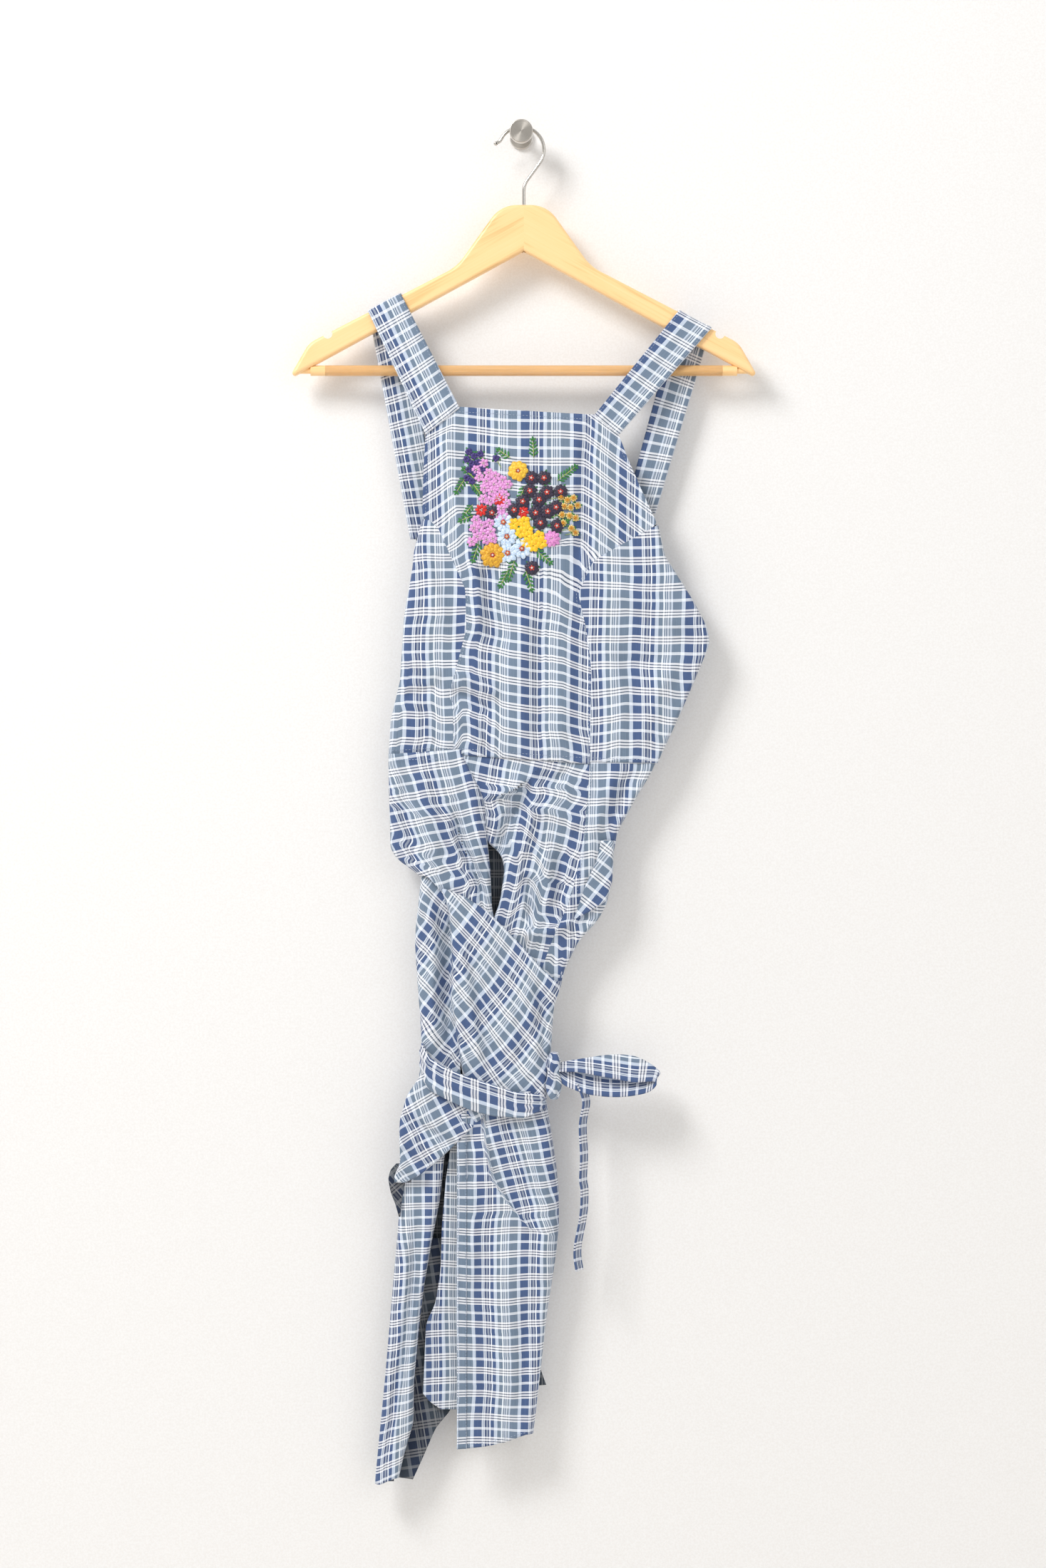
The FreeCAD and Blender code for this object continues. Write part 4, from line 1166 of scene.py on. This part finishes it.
class APRON_OT_lower_skirt(bpy.types.Operator):
    """Make the skirt below the belt: the lapping panel, the loose flap and the layers behind"""
    bl_idname = "apron.lower_skirt"
    bl_label = "Build Lower Skirt"

    def execute(self, context):
        look = outer_look(context)
        lap = panel(
            "lower_right", ["lower_panel_right"], [(-61, -915), (-61, -1258)],
            [(22, -915), (29.6, -961), (33.6, -987), (36, -1013), (36, -1046), (33, -1075),
             (24.4, -1131), (17, -1198.5), (11.3, -1246)],
            [(0, -916), (1, -916)], [(0, -1257.6), (0.4, -1255), (0.7, -1251), (1, -1243.5)],
            LAP_DEPTH, lower_relief, look, rolls=(0, 7), bend=lower_turn)
        band = panel(
            "lap_facing", None, [(-61.3, -935), (-61.3, -1258)], [(-52, -935), (-52, -1258)],
            [(0, -935), (1, -935)], [(0, -1257.2), (1, -1256.8)], -43.2, lower_relief, look,
            shift=(2.5, 0), bend=lower_turn, thickness=0.4)
        inner = panel(
            "lower_inner", ["lower_panel_inner"],
            [(-66, -911), (-68, -975), (-72, -1000), (-76, -1048), (-77, -1087), (-82, -1120),
             (-91, -1138), (-94, -1206)],
            [(-60, -911), (-60, -1222)], [(0, -912), (1, -912)],
            [(0, -1206), (0.2, -1214), (0.5, -1221), (1, -1221)], -32.4, calm_relief, look,
            shift=(4, 13), bend=lower_turn)
        flap = panel(
            "lower_flap", ["lower_flap_left"],
            [(-92, -905), (-110, -920), (-117, -954), (-116, -980), (-118, -1006), (-117, -1036),
             (-123.5, -1112.5), (-130, -1187), (-136.5, -1253), (-140.3, -1293)],
            [(-70, -905), (-73, -977), (-77.8, -1022), (-85, -1058), (-90, -1087), (-93, -1104),
             (-97, -1138), (-102.5, -1195), (-103, -1234), (-112, -1264.5), (-117.8, -1290)],
            [(0, -908), (1, -908)], [(0, -1292.2), (1, -1286.5)], -37.4, flap_relief, look,
            rolls=(6, 4), bend=flap_turn)
        # The flap's turned-back inner side, darkened with painted shade
        reverse = panel(
            "flap_reverse", ["lower_flap_reverse"], [(-100, -1055), (-108, -1200), (-119, -1289)],
            [(-68, -1055), (-67, -1222), (-82, -1240), (-95, -1270), (-103.7, -1289)],
            [(0, -1058), (1, -1058)], [(0, -1287), (1, -1289)], -27.0, calm_relief,
            painted_shade_inner_look(context), grain=9, soft=2.5)
        roll = panel(
            "gathered_bunch", ["gathered_roll"],
            [(-90, -893), (-99, -905), (-109, -920), (-116, -944), (-116, -970), (-115, -984),
             (-121, -996), (-121, -1004)],
            [(-24, -905), (-30, -934), (-45.8, -950), (-64, -968), (-80, -983), (-98, -997),
             (-112, -1004)],
            [(0, -893), (0.3, -912), (1, -926)], [(0, -1003), (1, -1003)], -45.5, bunch_relief,
            look, rolls=(4, 3), turn=-39.0, grain=28, soft=2.0)
        # The tip of the bunch shows its inner side, darkened with painted shade
        tip = panel(
            "bunch_tip", None,
            [(-118, -984), (-125, -991), (-127, -1000), (-124.5, -1013), (-120, -1024),
             (-116.5, -1037)],
            [(-104, -984), (-107, -992), (-110, -1001), (-112, -1010), (-114, -1021),
             (-115.3, -1037)],
            [(0, -985), (1, -985)], [(0, -1036), (1, -1036)], -40.5, calm_relief,
            painted_shade_inner_look(context), grain=40, soft=2.0)
        rows = [on_surface([(-52.6, -936), (-52.6, -1255)], lower_relief, -43.6, 0),
                on_surface([(-59.9, -936), (-59.9, -1255)], lower_relief, -43.6, 0),
                on_surface([(-58, -1253), (-30, -1250.5), (6, -1241)], lower_relief, LAP_DEPTH, 0)]
        sew(context, "lower_stitches", rows)
        return {"FINISHED"}


# --- Embroidery -------------------------------------------------------------------------------

# Each kind: petals, their inner and outer radius, width and height in mm, and its two tones
FLOWER_KINDS = {
    "dark_daisy": (10, 1.2, 7.0, 4.0, 1.5, "#2E1F42", "#170F25"),
    "pink_blossom": (6, 0.5, 5.0, 3.4, 1.4, "#F2B3E6", "#D283CB"),
    "yellow_rose": (9, 2.0, 9.8, 6.4, 2.3, "#F8CF3C", "#DDA31C"),
    "amber_rose": (11, 3.0, 12.0, 6.6, 2.6, "#F0BC28", "#C8890F"),
    "pale_daisy": (9, 2.0, 9.6, 5.0, 1.5, "#E6F0FB", "#A9C6E4"),
    "red_tuft": (8, 0.4, 6.2, 3.0, 1.3, "#EC2415", "#BC130C"),
    "violet_bud": (6, 0.3, 3.6, 2.7, 1.2, "#46328A", "#291C5C"),
    "yellow_tuft": (6, 0.4, 6.0, 4.8, 1.6, "#FDD90F", "#EFAE0A"),
    "cream_ring": (8, 1.1, 3.5, 1.9, 1.1, "#FBE6A0", "#E6BC55"),
    "carnation": (10, 0.5, 8.2, 4.0, 1.7, "#F0A2DB", "#D078C2"),
}
# Middles of the flowers of each kind: x and drop below the peg, in mm
FLOWERS = {
    "dark_daisy": [(9.6, 331), (21.8, 331), (8.2, 343.3), (24.6, 344.7), (37.5, 344), (1.4, 353.5),
                   (17.1, 351.8), (-6.8, 361.7), (13.7, 364.4), (25.3, 363.1), (33.4, 359),
                   (18.4, 374), (34.1, 376.7), (10.2, 417), (-28, 364.4)],
    "pink_blossom": [(-43, 323), (-36, 317), (-40, 330), (-31, 326), (-33, 334), (-25, 329),
                     (-26, 337), (-18, 333), (-20, 341), (-13, 337), (-28, 344), (-35, 341),
                     (-36, 351), (-30, 353), (-23, 350), (-16, 347), (-14, 355), (-19, 360),
                     (-43, 371), (-38, 376), (-45, 379), (-36, 384), (-30, 374), (-29, 382),
                     (-27, 389), (-33, 390), (-42, 387), (-47, 392), (-24, 366), (-17, 367)],
    "yellow_rose": [(-3, 324.2)],
    "amber_rose": [(-27.3, 404.7)],
    "pale_daisy": [(-17, 373.3), (-13.7, 387), (-13, 402.7), (0.7, 398.6)],
    "red_tuft": [(-20.5, 351.8), (-38, 361.7), (1.4, 363.1)],
    "violet_bud": [(-50, 306), (-45, 310), (-39, 308), (-52, 313), (-47, 317), (-41, 316),
                   (-50, 323), (-44, 326), (-37, 322), (-52, 331), (-47, 334), (-24, 312)],
    "yellow_tuft": [(-7.5, 375), (2.7, 373), (6, 381), (10, 390), (17, 387), (20, 392.7),
                    (11.6, 396), (5, 393), (0, 383)],
    "cream_ring": [(38, 349), (44, 352), (50, 350), (41, 358), (47, 359), (54, 357), (39, 366),
                   (46, 367), (52, 369), (40, 374), (48, 379), (52, 383)],
    "carnation": [(29.3, 389)],
}
# Leaf sprays: foot x and drop, tip x and drop, and pairs of leaflets
SPRAYS = [
    (12, 312, 11, 294, 5), (34, 334, 52, 320, 7), (-52, 329, -62, 345, 5), (-44, 332, -55, 322, 4),
    (-46, 336, -38, 348, 5), (-46, 356, -54, 366, 4), (-44, 366, -58, 372, 4), (-12, 418, -20, 434, 5),
    (4, 418, 10, 438, 5), (14, 400, 28, 412, 5), (-40, 392, -46, 410, 5), (-6, 408, -12, 428, 5),
    (26, 378, 44, 372, 5), (-14, 344, -18, 362, 4), (-10, 312, -22, 304, 4), (4, 338, -2, 352, 4),
]


def petal(centre, angle, inner, outer, width, height, lift=0.0):
    """Vertices and faces of one satin-stitched petal, ridged along its threads."""
    along = np.linspace(0, 1, 7)[:, None]
    side = np.linspace(-1, 1, 9)[None, :]
    reach = inner + (outer - inner) * along
    half = width / 2 * np.sin(math.pi * np.clip(along ** 1.5 * 0.88 + 0.08, 0, 1)) ** 0.6
    ridge = 0.16 * np.cos(side * math.pi * 4)
    rise = height * (1 - side ** 2) ** 0.6 * np.sin(math.pi * (0.12 + 0.8 * along)) + ridge
    c = math.cos(angle)
    s = math.sin(angle)
    x = centre[0] + c * reach - s * half * side
    z = centre[1] + s * reach + c * half * side
    y = BIB_DEPTH - bodice_relief(x, z) - 0.25 - lift - np.maximum(rise, 0)
    points = np.stack([x, y, z], -1).reshape(-1, 3)
    index = np.arange(along.size * side.size).reshape(along.size, side.size)
    quads = np.stack([index[:-1, :-1], index[:-1, 1:], index[1:, 1:], index[1:, :-1]], -1)
    return points, quads.reshape(-1, 4)


def gather(pieces):
    """Joins lists of points and faces into one mesh's lists."""
    verts = []
    faces = []
    for points, quads in pieces:
        base = len(verts)
        verts.extend(points.tolist())
        faces.extend((quads + base).tolist())
    return verts, faces


class APRON_OT_embroidery(bpy.types.Operator):
    """Make the bouquet of raised flowers and leaves on the bib"""
    bl_idname = "apron.embroidery"
    bl_label = "Build Embroidery"

    def execute(self, context):
        leaves = []
        stems = []
        for x, drop, tip_x, tip_drop, pairs in SPRAYS:
            heading = math.atan2(drop - tip_drop, tip_x - x)
            length = math.hypot(tip_x - x, tip_drop - drop)
            for i in range(pairs):
                share = (i + 0.6) / pairs
                root = (x + (tip_x - x) * share, -(drop + (tip_drop - drop) * share))
                size = (1 - 0.45 * share) * min(6.5, length * 0.42)
                for way in (-0.85, 0.85):
                    leaves.append(petal(root, heading + way, 0.2, size, 1.9, 0.7))
            leaves.append(petal((tip_x, -tip_drop), heading, -1.0, 3.0, 1.8, 0.7))
            stems.append(petal((x, -drop), heading, 0.0, length, 0.9, 0.8, 0.4))
        for x, drop in FLOWERS["violet_bud"]:
            stems.append(petal((x, -drop), -1.1, 1.0, 11.0, 0.7, 0.6))
        for x, drop in FLOWERS["cream_ring"]:
            stems.append(petal((x, -drop), math.pi * 1.07, 1.5, 11.0, 0.6, 0.5))
        # Foliage that shows between the flowers
        for kind, reach in (("dark_daisy", 8.6), ("pink_blossom", 5.6), ("yellow_tuft", 7.4),
                            ("pale_daisy", 9.6), ("violet_bud", 5.0), ("cream_ring", 4.6)):
            for n, (x, drop) in enumerate(FLOWERS[kind]):
                for i in range(3):
                    leaves.append(petal((x, -drop), 2.1 * i + 1.3 * n, 1.5, reach, 2.0, 0.5))
        pieces = {
            "leaves": (leaves, "#37913F", "#1C6430"),
            "stems": (stems, "#C9D77A", "#8DB04E"),
        }
        for kind, (count, inner, outer, width, height, light, dark) in FLOWER_KINDS.items():
            shapes = []
            for n, (x, drop) in enumerate(FLOWERS[kind]):
                for i in range(count):
                    angle = 2 * math.pi * i / count + 0.7 * n
                    long = outer * (1 + 0.06 * math.sin(3 * i + n))
                    shapes.append(petal((x, -drop), angle, inner, long, width, height, 0.5))
                    if kind in ("yellow_rose", "amber_rose", "carnation"):
                        shapes.append(petal((x, -drop), angle + 0.4, inner * 0.6, long * 0.66,
                                            width * 0.8, height, 1.3))
                    if kind == "dark_daisy":
                        shapes.append(petal((x, -drop), angle + 0.35, 0.6, long * 0.72,
                                            width * 0.8, height, 0.9))
            pieces[kind] = (shapes, light, dark)
        hearts = []
        beads = []
        for kind, size in (("dark_daisy", 2.9), ("pale_daisy", 2.7), ("yellow_rose", 3.4),
                           ("amber_rose", 3.6)):
            for n, (x, drop) in enumerate(FLOWERS[kind]):
                for i in range(5):
                    hearts.append(petal((x, -drop), 1.26 * i + n, 0.1, size, 2.0, 1.0, 2.1))
                for i in range(4):
                    beads.append(petal((x, -drop), 1.57 * i, -0.1, 1.1, 1.1, 0.8, 2.9))
        for kind in ("pink_blossom", "carnation", "red_tuft"):
            for n, (x, drop) in enumerate(FLOWERS[kind]):
                for i in range(3):
                    beads.append(petal((x, -drop), 2.1 * i + n, 0.3, 1.7, 1.0, 1.0, 1.9))
        eyes = []
        for x, drop in FLOWERS["pale_daisy"] + FLOWERS["cream_ring"]:
            for i in range(5):
                eyes.append(petal((x, -drop), 1.26 * i + 0.5, 0.1, 1.9, 1.3, 1.0, 2.3))
        pieces["hearts"] = (hearts, "#D8402A", "#A3211B")
        pieces["eyes"] = (eyes, "#F4B41F", "#D98A12")
        pieces["beads"] = (beads, "#FBF3EC", "#E6D3CF")
        for name, (shapes, light, dark) in pieces.items():
            verts, faces = gather(shapes)
            obj = detail_object("bouquet_" + name, verts, faces,
                                ribbon_thread("rayon_" + name, light, dark))
            if name == "leaves":
                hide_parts("embroidered_bouquet")
        return {"FINISHED"}


class APRON_PT_sidebar(bpy.types.Panel):
    """Lists the steps that build the apron"""
    bl_idname = "APRON_PT_sidebar"
    bl_label = "Apron on a Hook"
    bl_space_type = "VIEW_3D"
    bl_region_type = "UI"
    bl_category = "Apron"

    def draw(self, context):
        sizes = context.scene.apron_cloth
        for name in ApronCloth.__annotations__:
            self.layout.prop(sizes, name)
        for step in STEPS:
            self.layout.operator(step.bl_idname)


STEPS = (APRON_OT_stage, APRON_OT_peg_and_hook, APRON_OT_hanger, APRON_OT_straps,
         APRON_OT_bodice, APRON_OT_back, APRON_OT_skirt, APRON_OT_belt, APRON_OT_lower_skirt,
         APRON_OT_embroidery)
CLASSES = (ApronCloth,) + STEPS + (APRON_PT_sidebar,)


def register():
    """Registers the classes and the apron's settings."""
    for kind in CLASSES:
        bpy.utils.register_class(kind)
    bpy.types.Scene.apron_cloth = bpy.props.PointerProperty(type=ApronCloth)


def unregister():
    """Removes the settings and the classes."""
    del bpy.types.Scene.apron_cloth
    for kind in reversed(CLASSES):
        bpy.utils.unregister_class(kind)


def main():
    """Builds every piece in order."""
    register()
    for step in STEPS:
        group, name = step.bl_idname.split(".")
        getattr(getattr(bpy.ops, group), name)()


if __name__ == "__main__":
    main()
